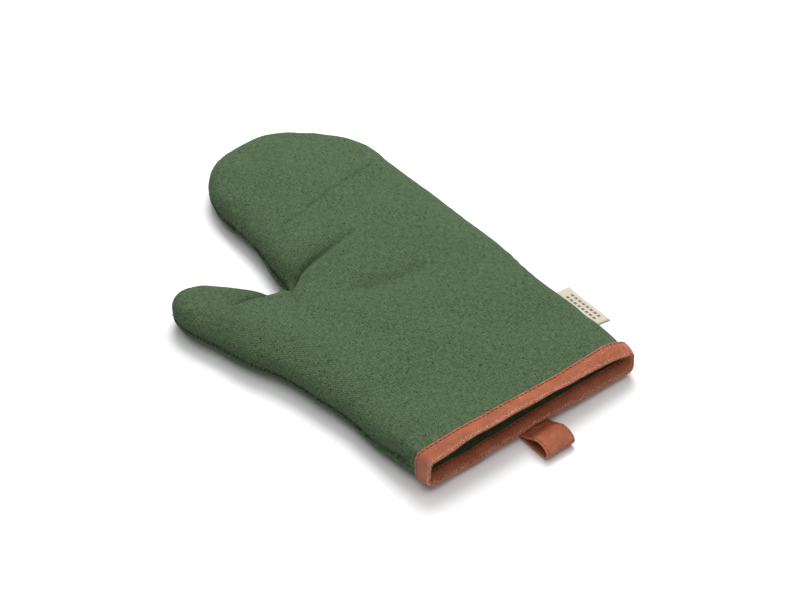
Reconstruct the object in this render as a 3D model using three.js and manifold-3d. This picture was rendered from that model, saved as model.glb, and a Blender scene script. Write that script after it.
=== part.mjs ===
// A padded oven mitt lying palm up, in millimetres.
// +Y runs from the cuff to the fingertips, -X is the thumb side and +Z is up.
// Two padded panels, palm above and back below, meet in a seam at mid height. Each panel is an
// outer canvas, a layer of batting and a lining, nested inside one another. A folded binding
// closes the raw edges round the cuff, a strap loop is sewn under the cuff's lower lip, and a
// woven label is caught in the side seam. The fingers and the thumb fold towards the palm, so
// every layer is made in a hand, a fingers and a thumb section, parted at the two fold lines.
import * as THREE from 'three';
import { mergeVertices } from 'three/addons/utils/BufferGeometryUtils.js';
import Module from 'manifold-3d';

// ---- Driving dimensions ----

const GAP = 0.3;                // clearance left between neighbouring pieces
const PALM = 1;                 // side of the seam that the palm panel is on
const BACK = -1;                // side of the seam that the back panel is on

const LAYERS = ['outer', 'batting', 'lining'];
const BODY_THICKNESS = { outer: 1.0, batting: 3.2, lining: 0.8 };
const CUFF_THICKNESS = { outer: 0.8, batting: 0.6, lining: 0.7 };   // pressed flat by the binding

const BODY = { seam: 12, palm: 14, back: 12, round: 14 };       // heights of seam and panels
const CUFF = { seam: 14.2, palm: 12, back: 10.6, round: 9 };    // the same at the mouth

const CUFF_LENGTH = 45;         // straight stretch of the sides behind the mouth
const CUFF_LEFT = [-79.5, -83.4];   // x of the left seam at the mouth and at CUFF_LENGTH
const CUFF_RIGHT = [79.5, 79.2];    // x of the right seam at the same places
const SEAM_POINTS = [           // the seam from the thumb side round to the little finger
  [-88.5, 80], [-97, 119], [-109.5, 157], [-117, 187],              // outer edge of the thumb
  [-114, 202], [-104, 210.5], [-91, 209.5], [-78.5, 198],           // tip of the thumb
  [-68, 183], [-57, 175.5], [-46.5, 182], [-43, 204],               // crotch
  [-42, 240], [-38, 270], [-26, 293], [-6, 305], [17, 309.5],       // index side and fingertips
  [44, 300.5], [66, 280.5], [76, 257],                              // little finger side
  [78, 219], [80.5, 165], [79, 105],                                // outer edge of the palm
];
const POINTS_PER_SPAN = 2;
const ROUND_ANGLES = [30, 60, 90];      // degrees up the rounded side, after its seam edge

const BINDING = { thickness: 1.0, width: 10, stitch: 8 };
const STITCH_THREAD = 0.5;      // diameter of the binding and loop thread
const SEAM_THREAD = 0.8;        // diameter of the heavier seam thread
const SEAM_CHANNEL = 1.2;       // half height of the channel that the batting leaves at the seam

const FINGER_FOLD_Y = 205;
const CROTCH = new THREE.Vector2(-57, 175.5);
const THUMB_ROOT_OUTER = new THREE.Vector2(-93, 105);
const THUMB_FOLD_LEAD = 12;     // the fold line lies this far into the thumb from its root line

const LOOP = { centre: 1, width: 21, thickness: 1.0, root: 6.5, gapStart: 0.3, gapEnd: -2.3 };
const LABEL = { start: 37, length: 36.5, reach: 11.5, ply: 0.4, droop: 10, clearance: 0.9 };

// ---- Small helpers ----

const wasm = await Module();
wasm.setup();

const mix = THREE.MathUtils.lerp;
const radians = THREE.MathUtils.degToRad;

/** A closed three.js geometry as a manifold solid. */
function solidOf(geometry) {
  const plain = new THREE.BufferGeometry();
  plain.setAttribute('position', geometry.getAttribute('position').clone());
  if (geometry.index) plain.setIndex(geometry.index.clone());
  const merged = mergeVertices(plain, 1e-4);
  return new wasm.Manifold(new wasm.Mesh({
    numProp: 3,
    vertProperties: new Float32Array(merged.getAttribute('position').array),
    triVerts: new Uint32Array(merged.index.array),
  }));
}

/** A manifold solid as a three.js geometry. */
function geometryOf(solid) {
  const mesh = solid.getMesh();
  const geometry = new THREE.BufferGeometry();
  geometry.setAttribute('position', new THREE.BufferAttribute(mesh.vertProperties, 3));
  geometry.setIndex(new THREE.BufferAttribute(mesh.triVerts, 1));
  return geometry;
}

/** A geometry from points and triangles, turned inside out if its volume comes out negative. */
function closedGeometry(points, triangles) {
  const volume = triangles.reduce((sum, [a, b, c]) => {
    const normal = new THREE.Vector3().crossVectors(points[b], points[c]);
    return sum + points[a].dot(normal);
  }, 0);
  const facing = volume < 0 ? triangles.map(([a, b, c]) => [a, c, b]) : triangles;
  const geometry = new THREE.BufferGeometry().setFromPoints(points);
  geometry.setIndex(facing.flat());
  return geometry;
}

/** A solid through closed cross-sections of equally many points: a ring, or capped at its ends. */
function loftGeometry(sections, isRing) {
  const size = sections[0].length;
  const spans = isRing ? sections.length : sections.length - 1;
  const triangles = [];
  for (let i = 0; i < spans; i += 1) {
    const here = i * size;
    const there = ((i + 1) % sections.length) * size;
    for (let j = 0; j < size; j += 1) {
      const k = (j + 1) % size;
      triangles.push([here + j, there + j, there + k], [here + j, there + k, here + k]);
    }
  }
  if (!isRing) {
    const last = spans * size;
    for (let j = 1; j < size - 1; j += 1) {
      triangles.push([0, j, j + 1], [last, last + j + 1, last + j]);
    }
  }
  return closedGeometry(sections.flat(), triangles);
}

const THREAD_SIDES = 5;

/** The corners of a thread's section about a middle. */
function threadCorners(diameter, x = 0, y = 0) {
  return [...Array(THREAD_SIDES).keys()].map((i) => {
    const angle = (2 * Math.PI * i) / THREAD_SIDES;
    return [x + (diameter / 2) * Math.cos(angle), y + (diameter / 2) * Math.sin(angle)];
  });
}

/** A thread along a curve. */
function threadGeometry(curve, diameter, steps) {
  const corners = threadCorners(diameter).map(([x, y]) => new THREE.Vector2(x, y));
  const options = { steps, extrudePath: curve, bevelEnabled: false };
  return new THREE.ExtrudeGeometry(new THREE.Shape(corners), options);
}

/** The depths of both faces of each layer below the outside, for thicknesses from a start. */
function stackDepths(start, thickness) {
  const depths = {};
  let depth = start;
  for (const layer of LAYERS) {
    depths[layer] = [depth, depth + thickness[layer]];
    depth += thickness[layer] + GAP;
  }
  return depths;
}

const BODY_DEPTHS = stackDepths(0, BODY_THICKNESS);
const CUFF_DEPTHS = stackDepths(BINDING.thickness + GAP, CUFF_THICKNESS);
const BINDING_INNER_LEG = CUFF_DEPTHS.lining[1] + GAP;
const BINDING_DEPTH = BINDING_INNER_LEG + BINDING.thickness;

// ---- The mitt's section at any distance from the mouth ----

const SQUEEZE_END = 24;         // the padding is back to its full thickness here

/** How far the layers are pressed by the binding, from 1 under it to 0 in the body. */
function squeeze(y) {
  return 1 - THREE.MathUtils.smoothstep(y, BINDING.width + 1, SQUEEZE_END);
}

/** Seam height, panel heights and side radius at a distance from the mouth. */
function sectionAt(y) {
  const cuff = 1 - THREE.MathUtils.smoothstep(y, BINDING.width + 1, CUFF_LENGTH);
  const section = {};
  for (const key of Object.keys(BODY)) section[key] = mix(BODY[key], CUFF[key], cuff);
  return section;
}

/** A point on the rounded side or the panel's flat, at a depth below the outside. */
function panelPoint(station, side, depth, sine) {
  const section = sectionAt(station.at.y);
  const rise = (side === PALM ? section.palm : section.back) - depth;
  const cosine = Math.sqrt(1 - sine * sine);
  const inset = section.round - (section.round - depth) * cosine;
  return new THREE.Vector3(
    station.at.x + station.inward.x * inset,
    station.at.y + station.inward.y * inset,
    section.seam + side * rise * sine,
  );
}

function cuffStation(y, edge, inwardX) {
  const at = new THREE.Vector2(mix(edge[0], edge[1], y / CUFF_LENGTH), y);
  return { at, inward: new THREE.Vector2(inwardX, 0) };
}

const MOUTH_EDGE = BINDING.thickness + GAP;     // the raw edges start here, behind the fold
const CUFF_STEPS = [MOUTH_EDGE, BINDING.width + 1, 17, SQUEEZE_END, 34, CUFF_LENGTH];

/** Places along the whole seam, each with its position and the direction into the mitt. */
function seamStations() {
  const left = CUFF_STEPS.map((y) => cuffStation(y, CUFF_LEFT, 1));
  const right = CUFF_STEPS.map((y) => cuffStation(y, CUFF_RIGHT, -1)).reverse();
  const first = left.at(-1).at;
  const last = right[0].at;
  const corners = [[first.x, first.y], ...SEAM_POINTS, [last.x, last.y]];
  const curve = new THREE.CatmullRomCurve3(corners.map(([x, y]) => new THREE.Vector3(x, y, 0)));
  const count = POINTS_PER_SPAN * (corners.length - 1);
  const round = [...Array(count - 1).keys()].map((i) => {
    const at = curve.getPoint((i + 1) / count);
    const along = curve.getTangent((i + 1) / count);
    return { at: new THREE.Vector2(at.x, at.y), inward: new THREE.Vector2(along.y, -along.x) };
  });
  return [...left, ...round, ...right];
}

const STATIONS = seamStations();

// ---- The panel layers ----

/** Triangles over the flat of a panel, from each station's innermost point. */
function flatTriangles(points) {
  const last = points.length - 1;
  const bands = CUFF_STEPS.length - 1;
  const triangles = [];
  for (let i = 0; i < bands; i += 1) {
    triangles.push([i, i + 1, last - i], [i + 1, last - i - 1, last - i]);
  }
  const rest = points.slice(bands, points.length - bands).map((p) => new THREE.Vector2(p.x, p.y));
  const clockwise = THREE.ShapeUtils.isClockWise(rest);
  for (const corners of THREE.ShapeUtils.triangulateShape(rest, [])) {
    const [a, b, c] = corners.map((i) => i + bands);
    const turned = THREE.ShapeUtils.isClockWise(corners.map((i) => rest[i])) !== clockwise;
    triangles.push(turned ? [a, c, b] : [a, b, c]);
  }
  return triangles;
}

/** One layer of one panel over the whole mitt, as a closed solid open only to its own edges. */
function layerSolid(layer, side) {
  const edge = layer === 'batting' ? SEAM_CHANNEL : GAP / 2;
  const rings = ROUND_ANGLES.length + 1;
  const points = [];
  const index = (i, face, ring) => (i * 2 + face) * rings + ring;
  for (const station of STATIONS) {
    for (const face of [0, 1]) {
      const pressed = squeeze(station.at.y);
      const depth = mix(BODY_DEPTHS[layer][face], CUFF_DEPTHS[layer][face], pressed);
      const section = sectionAt(station.at.y);
      const rise = (side === PALM ? section.palm : section.back) - depth;
      const sines = [edge / rise, ...ROUND_ANGLES.map((angle) => Math.sin(radians(angle)))];
      for (const sine of sines) points.push(panelPoint(station, side, depth, sine));
    }
  }
  const triangles = [];
  const quad = (a, b, c, d) => triangles.push([a, b, c], [a, c, d]);
  const top = rings - 1;
  const end = STATIONS.length - 1;
  for (let i = 0; i < end; i += 1) {
    quad(index(i, 0, 0), index(i, 1, 0), index(i + 1, 1, 0), index(i + 1, 0, 0));
    for (let ring = 0; ring < top; ring += 1) {
      quad(index(i, 0, ring), index(i + 1, 0, ring), index(i + 1, 0, ring + 1), index(i, 0, ring + 1));
      quad(index(i, 1, ring), index(i, 1, ring + 1), index(i + 1, 1, ring + 1), index(i + 1, 1, ring));
    }
  }
  for (let ring = 0; ring < top; ring += 1) {
    quad(index(0, 0, ring), index(0, 0, ring + 1), index(0, 1, ring + 1), index(0, 1, ring));
    quad(index(end, 0, ring), index(end, 1, ring), index(end, 1, ring + 1), index(end, 0, ring + 1));
  }
  quad(index(0, 0, top), index(end, 0, top), index(end, 1, top), index(0, 1, top));
  const inner = STATIONS.map((_, i) => points[index(i, 0, top)]);
  for (const [a, b, c] of flatTriangles(inner)) {
    triangles.push([index(a, 0, top), index(b, 0, top), index(c, 0, top)]);
    triangles.push([index(a, 1, top), index(c, 1, top), index(b, 1, top)]);
  }
  return solidOf(closedGeometry(points, triangles));
}

// ---- Parting the layers at the fold lines ----

const FAR = 400;                // reaches past the mitt in every direction
const NOTCH_X = -62;            // a line up the open notch between thumb and fingers
const THUMB_ALONG = new THREE.Vector2().subVectors(CROTCH, THUMB_ROOT_OUTER).normalize();
const THUMB_OUTWARD = new THREE.Vector2(-THUMB_ALONG.y, THUMB_ALONG.x);

/** An upright prism over a plan outline, tall enough to cut right through the mitt. */
function prism(corners) {
  const shape = new THREE.Shape(corners.map(([x, y]) => new THREE.Vector2(x, y)));
  const geometry = new THREE.ExtrudeGeometry(shape, { depth: FAR, bevelEnabled: false });
  return solidOf(geometry.translate(0, 0, -FAR / 2));
}

/** Everything past the fingers' fold line, moved away from it by a margin. */
function fingersPrism(margin) {
  const y = FINGER_FOLD_Y + margin;
  return prism([[NOTCH_X, y], [FAR, y], [FAR, FAR], [NOTCH_X, FAR]]);
}

/** Everything past the thumb's fold line, moved away from it by a margin. */
function thumbPrism(margin) {
  const fold = CROTCH.clone().addScaledVector(THUMB_OUTWARD, THUMB_FOLD_LEAD + margin);
  const notch = fold.clone().addScaledVector(THUMB_ALONG, (NOTCH_X - fold.x) / THUMB_ALONG.x);
  const outer = fold.clone().addScaledVector(THUMB_ALONG, -FAR / 2);
  return prism([[notch.x, notch.y], [NOTCH_X, FAR], [-FAR, FAR], [-FAR, outer.y], [outer.x, outer.y]]);
}

const FINGERS = fingersPrism(GAP / 2);
const THUMB = thumbPrism(GAP / 2);
const FINGERS_SIDE = fingersPrism(-GAP / 2);
const THUMB_SIDE = thumbPrism(-GAP / 2);

/** The hand, fingers and thumb sections of a solid that spans the mitt. */
function sectionsOf(solid) {
  return {
    hand: solid.subtract(FINGERS_SIDE).subtract(THUMB_SIDE),
    fingers: solid.intersect(FINGERS),
    thumb: solid.intersect(THUMB),
  };
}

// ---- Materials ----

function material(colour, roughness) {
  return () => new THREE.MeshStandardMaterial({ color: colour, roughness, metalness: 0 });
}

const canvas = material(0x586c51, 0.95);
const wadding = material(0xe8e2d3, 1.0);
const liningCotton = material(0x2f4a2c, 0.95);
const leather = material(0xa9674d, 0.5);
const brownThread = material(0xb4765c, 0.8);
const greenThread = material(0x6b6a4a, 0.9);
const wovenTape = material(0xe9e4d6, 0.9);

const LAYER_MATERIALS = { outer: canvas, batting: wadding, lining: liningCotton };

const mitt = new THREE.Group();

function addPiece(name, geometry, makeMaterial) {
  const mesh = new THREE.Mesh(geometry, makeMaterial());
  mesh.name = name;
  mitt.add(mesh);
  return mesh;
}

// ---- Sub-parts ----

function addPanels() {
  for (const layer of LAYERS) {
    for (const [panel, side] of [['palm', PALM], ['back', BACK]]) {
      const sections = sectionsOf(layerSolid(layer, side));
      for (const [section, solid] of Object.entries(sections)) {
        addPiece(`${layer}_${panel}_${section}`, geometryOf(solid), LAYER_MATERIALS[layer]);
      }
    }
  }
}

/** The thread that sews one bag's two panels together, in its stretches along the seam. */
function addSeamThread(name, depth) {
  const inside = STATIONS.filter((station) => station.at.y >= SQUEEZE_END);
  const corners = threadCorners(SEAM_THREAD, depth);
  const thread = solidOf(loftGeometry(inside.map((station) => corners.map(([across, up]) => (
    panelPoint(station, PALM, across, 0).add(new THREE.Vector3(0, 0, up))
  ))), false));
  const { hand, fingers, thumb } = sectionsOf(thread);
  const crotchBox = prism([[-90, 150], [0, 150], [0, FAR], [-90, FAR]]);
  const rightBox = prism([[0, -FAR], [FAR, -FAR], [FAR, FAR], [0, FAR]]);
  const stretches = {
    thumb,
    fingers,
    crotch: hand.intersect(crotchBox),
    right: hand.intersect(rightBox),
    left: hand.subtract(crotchBox).subtract(rightBox),
  };
  for (const [stretch, solid] of Object.entries(stretches)) {
    addPiece(`${name}_${stretch}`, geometryOf(solid), greenThread);
  }
}

function addSeamThreads() {
  addSeamThread('outer_seam_thread', BODY_DEPTHS.outer[1] + GAP + SEAM_THREAD / 2);
  addSeamThread('lining_seam_thread', BODY_DEPTHS.lining[0] - GAP - SEAM_THREAD / 2);
}

/** The sine and side of each place round the mouth, going once round from the left seam. */
function mouthRound() {
  const sines = [0, 22.5, 45, 67.5, 90].map((angle) => Math.sin(radians(angle)));
  const rising = sines.map((sine) => ({ sine }));
  const falling = sines.slice(1, -1).reverse().map((sine) => ({ sine }));
  const top = { sine: 1 };
  const leftPalm = rising.map((place) => ({ ...place, edge: CUFF_LEFT, inward: 1, side: PALM }));
  const rightPalm = [top, ...falling].map((place) => ({ ...place, edge: CUFF_RIGHT, inward: -1, side: PALM }));
  const rightBack = rising.map((place) => ({ ...place, edge: CUFF_RIGHT, inward: -1, side: BACK }));
  const leftBack = [top, ...falling].map((place) => ({ ...place, edge: CUFF_LEFT, inward: 1, side: BACK }));
  return [...leftPalm, ...rightPalm, ...rightBack, ...leftBack];
}

/** A ring round the mouth with the given section, in depth below the outside and y. */
function mouthRing(profile) {
  return loftGeometry(mouthRound().map(({ edge, inward, side, sine }) => (
    profile.map(([depth, y]) => panelPoint(cuffStation(y, edge, inward), side, depth, sine))
  )), true);
}

function addBinding() {
  const { thickness, width, stitch } = BINDING;
  const corner = thickness * 0.6;
  addPiece('cuff_binding', mouthRing([
    [0, width], [0, thickness * 1.4], [corner, corner / 2], [BINDING_DEPTH / 2, 0],
    [BINDING_DEPTH - corner, corner / 2], [BINDING_DEPTH, thickness * 1.4], [BINDING_DEPTH, width],
    [BINDING_INNER_LEG, width], [BINDING_INNER_LEG, thickness], [thickness, thickness],
    [thickness, width],
  ]), leather);
  const radius = STITCH_THREAD / 2;
  const rows = { outer: -GAP - radius, inner: BINDING_DEPTH + GAP + radius };
  for (const [row, depth] of Object.entries(rows)) {
    const corners = threadCorners(STITCH_THREAD, depth, stitch);
    addPiece(`binding_stitching_${row}`, mouthRing(corners), brownThread);
  }
}

// ---- The hanging loop ----

const LOWER_PLY = 1.6;                                  // height of the lower ply's middle
const UPPER_PLY = LOWER_PLY + LOOP.thickness + 0.25;    // the upper ply lies on it at the root

/** The middle line of the strap in y and z, from the upper ply's root round to the lower's. */
function loopLine() {
  const route = [
    [LOOP.gapEnd, UPPER_PLY + 0.1], [-6, 5.2], [-10, 8.4], [-14.5, 9.2], [-18.4, 7.6],
    [-19.9, 4.9], [-18.2, 2.5], [-14, LOWER_PLY], [-8, LOWER_PLY], [LOOP.gapEnd, LOWER_PLY],
  ];
  return new THREE.CatmullRomCurve3(route.map(([y, z]) => new THREE.Vector3(0, y, z)));
}

/** Points beside the strap's middle line, at a distance out of the loop. */
function besideLoop(offset, steps) {
  const line = loopLine();
  return [...Array(steps + 1).keys()].map((i) => {
    const at = line.getPoint(i / steps);
    const along = line.getTangent(i / steps);
    return new THREE.Vector2(at.y - along.z * offset, at.z + along.y * offset);
  });
}

/** A plan strip extruded across the strap's width. */
function acrossStrap(corners) {
  const shape = new THREE.Shape(corners);
  const geometry = new THREE.ExtrudeGeometry(shape, { depth: LOOP.width, bevelEnabled: false });
  geometry.rotateY(Math.PI / 2).rotateX(Math.PI / 2);
  return geometry.translate(LOOP.centre - LOOP.width / 2, 0, 0);
}

function addLoop() {
  const steps = 24;
  const half = LOOP.thickness / 2;
  const outside = besideLoop(-half, steps);
  const inside = besideLoop(half, steps).reverse();
  addPiece('hanging_loop_strap', acrossStrap([...outside, ...inside]), leather);
  for (const [name, height] of [['upper', UPPER_PLY], ['lower', LOWER_PLY]]) {
    const corners = [
      [LOOP.gapStart, height - half], [LOOP.root, height - half],
      [LOOP.root, height + half], [LOOP.gapStart, height + half],
    ];
    const shape = corners.map(([y, z]) => new THREE.Vector2(y, z));
    addPiece(`hanging_loop_${name}_end`, acrossStrap(shape), leather);
  }
  const margin = 2;
  for (const [name, turn] of [['left', -1], ['right', 1]]) {
    const x = LOOP.centre + turn * (LOOP.width / 2 - margin);
    const row = besideLoop(-half - GAP - STITCH_THREAD / 2, steps).slice(1, -1);
    const curve = new THREE.CatmullRomCurve3(row.map((p) => new THREE.Vector3(x, p.x, p.y)));
    addPiece(`loop_stitching_${name}`, threadGeometry(curve, STITCH_THREAD, steps), brownThread);
  }
}

// ---- The side label ----

function addLabel() {
  const { ply, reach, length, droop } = LABEL;
  const half = ply * 1.5;                   // two plies with a ply's width between them
  const shape = new THREE.Shape();
  shape.moveTo(0, -half);
  shape.lineTo(reach - half, -half);
  shape.absarc(reach - half, 0, half, -Math.PI / 2, Math.PI / 2, false);
  shape.lineTo(0, half);
  shape.lineTo(0, half - ply);
  shape.lineTo(reach - half, half - ply);
  shape.absarc(reach - half, 0, half - ply, Math.PI / 2, -Math.PI / 2, true);
  shape.lineTo(0, ply - half);
  const options = { depth: length, bevelEnabled: false, curveSegments: 3 };
  const geometry = new THREE.ExtrudeGeometry(shape, options).rotateX(Math.PI / 2);
  const label = addPiece('side_label', geometry, wovenTape);
  const middle = LABEL.start + length / 2;
  const section = sectionAt(middle);
  label.position.set(CUFF_RIGHT[1] + LABEL.clearance, LABEL.start + length, section.seam);
  label.rotation.y = radians(droop);
}

// ---- Assembly ----

addPanels();
addSeamThreads();
addBinding();
addLoop();
addLabel();

// The origin is under the middle of the whole mitt, on the surface that it lies on.
const ovenMitt = new THREE.Group();
ovenMitt.add(mitt);
const box = new THREE.Box3().setFromObject(mitt, true);
const middle = box.getCenter(new THREE.Vector3());
mitt.position.set(-middle.x, -middle.y, -box.min.z);

export default ovenMitt;
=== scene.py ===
"""The looks of a padded oven mitt lying palm up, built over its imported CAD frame.

Lengths are in millimetres in the mitt's own frame: y runs from the mouth of the cuff to the
fingertips, -x is the thumb side and z is up from the surface that it lies on. row() turns them
into metres in the frame's coordinates.
"""

import math

import bmesh
import bpy
import numpy as np
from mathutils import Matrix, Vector
from mathutils.geometry import delaunay_2d_cdt
from mathutils.kdtree import KDTree


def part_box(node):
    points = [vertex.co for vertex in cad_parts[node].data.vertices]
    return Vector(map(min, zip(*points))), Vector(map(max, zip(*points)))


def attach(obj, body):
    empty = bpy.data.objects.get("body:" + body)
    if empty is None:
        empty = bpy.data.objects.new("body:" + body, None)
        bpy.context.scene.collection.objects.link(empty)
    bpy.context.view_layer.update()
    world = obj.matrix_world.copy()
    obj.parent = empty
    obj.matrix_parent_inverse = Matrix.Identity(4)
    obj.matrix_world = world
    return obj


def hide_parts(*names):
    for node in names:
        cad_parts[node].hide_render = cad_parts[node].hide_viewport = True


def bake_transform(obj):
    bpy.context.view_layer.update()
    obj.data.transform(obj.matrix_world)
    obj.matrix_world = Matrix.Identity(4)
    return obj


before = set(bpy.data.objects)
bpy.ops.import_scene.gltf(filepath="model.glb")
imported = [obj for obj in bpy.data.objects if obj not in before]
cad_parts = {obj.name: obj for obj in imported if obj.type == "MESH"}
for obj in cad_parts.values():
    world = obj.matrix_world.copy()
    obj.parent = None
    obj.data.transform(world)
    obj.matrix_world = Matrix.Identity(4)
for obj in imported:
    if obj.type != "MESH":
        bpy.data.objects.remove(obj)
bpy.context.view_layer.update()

# ---- Driving dimensions ----

MM = 0.001
PALM, BACK = 0, 1                   # the panel above the seam and the one below it
SIGN = {PALM: 1, BACK: -1}
PANEL_NAME = {PALM: "palm", BACK: "back"}

BODY = {"seam": 12, "palm": 14, "back": 12, "round": 14, "power": 2.0}
CUFF = {"seam": 14.2, "palm": 12, "back": 10.6, "round": 7.5, "power": 3.8}
CUFF_LENGTH = 45
MOUTH_EDGE = 3.0                    # the layers' raw edges start here, inside the binding
CUFF_LEFT = ((-79.5, 0), (-83.4, CUFF_LENGTH))
CUFF_RIGHT = ((79.5, 0), (79.2, CUFF_LENGTH))
SEAM_POINTS = (
    (-88, 80), (-96, 119), (-108.5, 157), (-119, 188.5),            # outer edge of the thumb
    (-117, 204), (-106, 212), (-91.5, 209.5), (-78.5, 198),         # tip of the thumb
    (-67, 182.5), (-57, 173.8), (-49.8, 171.5), (-45.8, 178.5),     # crotch
    (-43.3, 204), (-42.5, 240), (-39.8, 271), (-28, 294), (-7, 304.5),      # index side
    (17, 307.5), (43.5, 299), (65.5, 280), (75.5, 257),             # fingertips
    (77.5, 219), (79.7, 165), (78.6, 105),                          # little finger side
)
CROTCH = np.array([-49.8, 171.5])
THUMB_OUTWARD = np.array([-0.89060, 0.45477])       # square across the thumb's hinge, from the hand
CAD_CROTCH = np.array([-57.0, 175.5])               # the crotch in the CAD

# The depths of each layer's outer and inner face below the mitt's outside.
BODY_DEPTHS = {"outer": (0, 1.0), "batting": (1.3, 4.5), "lining": (4.8, 5.6)}
CUFF_DEPTHS = {"outer": (1.3, 2.1), "batting": (2.4, 3.0), "lining": (3.3, 4.0)}
SQUEEZE_END = 24                    # the layers are pressed together from the mouth to here

BINDING_WIDTH = 10
BINDING_DEPTH = 5.3
BINDING_THICKNESS = 1.0
STITCH_LINE = 8.3                   # the outer row of stitches lies this far from the mouth
INNER_LEG = 8.0                     # the binding reaches this far into the mouth
INNER_STITCH_LINE = 6.6
LOOP_CENTRE, LOOP_WIDTH, LOOP_THICKNESS = 1.0, 21.0, 1.6
LABEL = {"start": 36, "length": 37, "reach": 13.2, "ply": 0.4, "droop": 4}

STRAP_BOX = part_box("hanging_loop_strap")
ORIGIN = np.array([
    (STRAP_BOX[0][0] + STRAP_BOX[1][0]) / 2 / MM - LOOP_CENTRE,
    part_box("cuff_binding")[0][1] / MM,
    0.0,
])


def row(points):
    """Mitt millimetres as metres in the row frame."""
    return (np.asarray(points, float) + ORIGIN) * MM


# ---- Small helpers ----

def mix(a, b, t):
    return a + (b - a) * t


def smoothstep(x, low, high):
    t = np.clip((np.asarray(x, float) - low) / (high - low), 0, 1)
    return t * t * (3 - 2 * t)


def bump(distance, width):
    """A bell of height 1 and the given half width."""
    return np.exp(-((distance / width) ** 2))


def soft_interp(x, pairs, blur=7.0):
    """A value along x that eases through pairs of (x, value)."""
    at, value = zip(*pairs)
    taps = ((-1.5, 1), (-0.75, 2), (0, 3), (0.75, 2), (1.5, 1))
    total = sum(weight for _, weight in taps)
    return sum(weight * np.interp(x + tap * blur, at, value) for tap, weight in taps) / total


RIPPLE_WAVES = 14


def ripple(points, wavelength, seed):
    """Smooth seeded noise of about unit size, with features of about the given wavelength."""
    random = np.random.default_rng(seed)
    points = np.asarray(points, float)
    total = np.zeros(len(points))
    for _ in range(RIPPLE_WAVES):
        direction = random.normal(size=points.shape[1])
        direction /= np.linalg.norm(direction)
        stretch = random.uniform(0.6, 1.5)
        phase = random.uniform(0, 2 * math.pi)
        total += np.sin(points @ direction * (2 * math.pi * stretch / wavelength) + phase)
    return total / math.sqrt(RIPPLE_WAVES / 2)


def catmull_rom(points, steps):
    """A smooth path through points, in the given number of steps between each pair."""
    points = [np.asarray(p, float) for p in points]
    padded = [2 * points[0] - points[1], *points, 2 * points[-1] - points[-2]]
    path = []
    for p0, p1, p2, p3 in zip(padded, padded[1:], padded[2:], padded[3:]):
        t1 = np.linalg.norm(p1 - p0) ** 0.5
        t2 = t1 + np.linalg.norm(p2 - p1) ** 0.5
        t3 = t2 + np.linalg.norm(p3 - p2) ** 0.5
        t = np.linspace(t1, t2, steps, endpoint=False)[:, None]
        a1 = mix(p0, p1, t / t1)
        a2 = mix(p1, p2, (t - t1) / (t2 - t1))
        a3 = mix(p2, p3, (t - t2) / (t3 - t2))
        b1 = mix(a1, a2, t / t2)
        b2 = mix(a2, a3, (t - t1) / (t3 - t1))
        path.append(mix(b1, b2, (t - t1) / (t2 - t1)))
    path.append(points[-1][None])
    return np.concatenate(path)


def arc_lengths(path):
    """The distance along a path to each of its points."""
    steps = np.linalg.norm(np.diff(path, axis=0), axis=1)
    return np.concatenate([[0], np.cumsum(steps)])


def at_lengths(path, lengths):
    """Points at the given distances along a path."""
    along = arc_lengths(path)
    return np.stack([np.interp(lengths, along, axis) for axis in path.T], 1)


def tangents(path):
    slope = np.gradient(path, axis=0)
    return slope / np.linalg.norm(slope, axis=1)[:, None]


def nearest(samples, points):
    """The index of the nearest sample to each point, and the distance to it."""
    tree = KDTree(len(samples))
    flat = samples.shape[1] == 2
    for i, sample in enumerate(samples):
        tree.insert((*sample, 0) if flat else sample, i)
    tree.balance()
    found = [tree.find((*p, 0) if flat else p) for p in points]
    return np.array([f[1] for f in found]), np.array([f[2] for f in found])


def grid_faces(rows, columns, round_rows=False, round_columns=False, start=0):
    """Quads over a grid of points in rows, closed round either way if asked."""
    faces = []
    for i in range(rows if round_rows else rows - 1):
        for j in range(columns if round_columns else columns - 1):
            below, above = i, (i + 1) % rows
            left, right = j, (j + 1) % columns
            corners = ((below, left), (below, right), (above, right), (above, left))
            faces.append(tuple(start + r * columns + c for r, c in corners))
    return faces


def make_piece(name, points, faces, material, uvs=None, normals=None):
    """A smooth mesh object in the row frame, from points in mitt millimetres."""
    mesh = bpy.data.meshes.new(name)
    mesh.from_pydata(row(points).tolist(), [], faces)
    mesh.materials.append(material)
    if uvs is not None:
        layer = mesh.uv_layers.new(name="weave")
        layer.data.foreach_set("uv", np.asarray(uvs, np.float32).ravel())
    mesh.shade_smooth()
    if normals is not None:
        mesh.normals_split_custom_set_from_vertices(normals.tolist())
    piece = bpy.data.objects.new(name, mesh)
    bpy.context.scene.collection.objects.link(piece)
    return piece


def mark(piece, name, values):
    """Keeps a value from 0 to 1 for each point, for the material."""
    attribute = piece.data.attributes.new(name, "FLOAT", "POINT")
    attribute.data.foreach_set("value", np.asarray(values, np.float32))


def face_outward(piece):
    """Turns a closed piece's faces to the outside."""
    work = bmesh.new()
    work.from_mesh(piece.data)
    bmesh.ops.recalc_face_normals(work, faces=work.faces)
    work.to_mesh(piece.data)
    work.free()
    return piece


# ---- The mitt's surface ----

FOLD_PINCH = 0.62                   # how far the lip's two faces draw together at its fold


def pinched(depth, y):
    """A depth below the outside, drawn to the lip's middle towards its fold."""
    return mix(depth, BINDING_DEPTH / 2, FOLD_PINCH * (1 - smoothstep(y, 0.5, 9.5)))


def section_at(y):
    """The seam's height, the panels' heights above and below it, and how their sides round over."""
    cuff = 1 - smoothstep(y, BINDING_WIDTH + 1, CUFF_LENGTH)
    return {key: mix(BODY[key], CUFF[key], cuff) for key in BODY}


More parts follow.
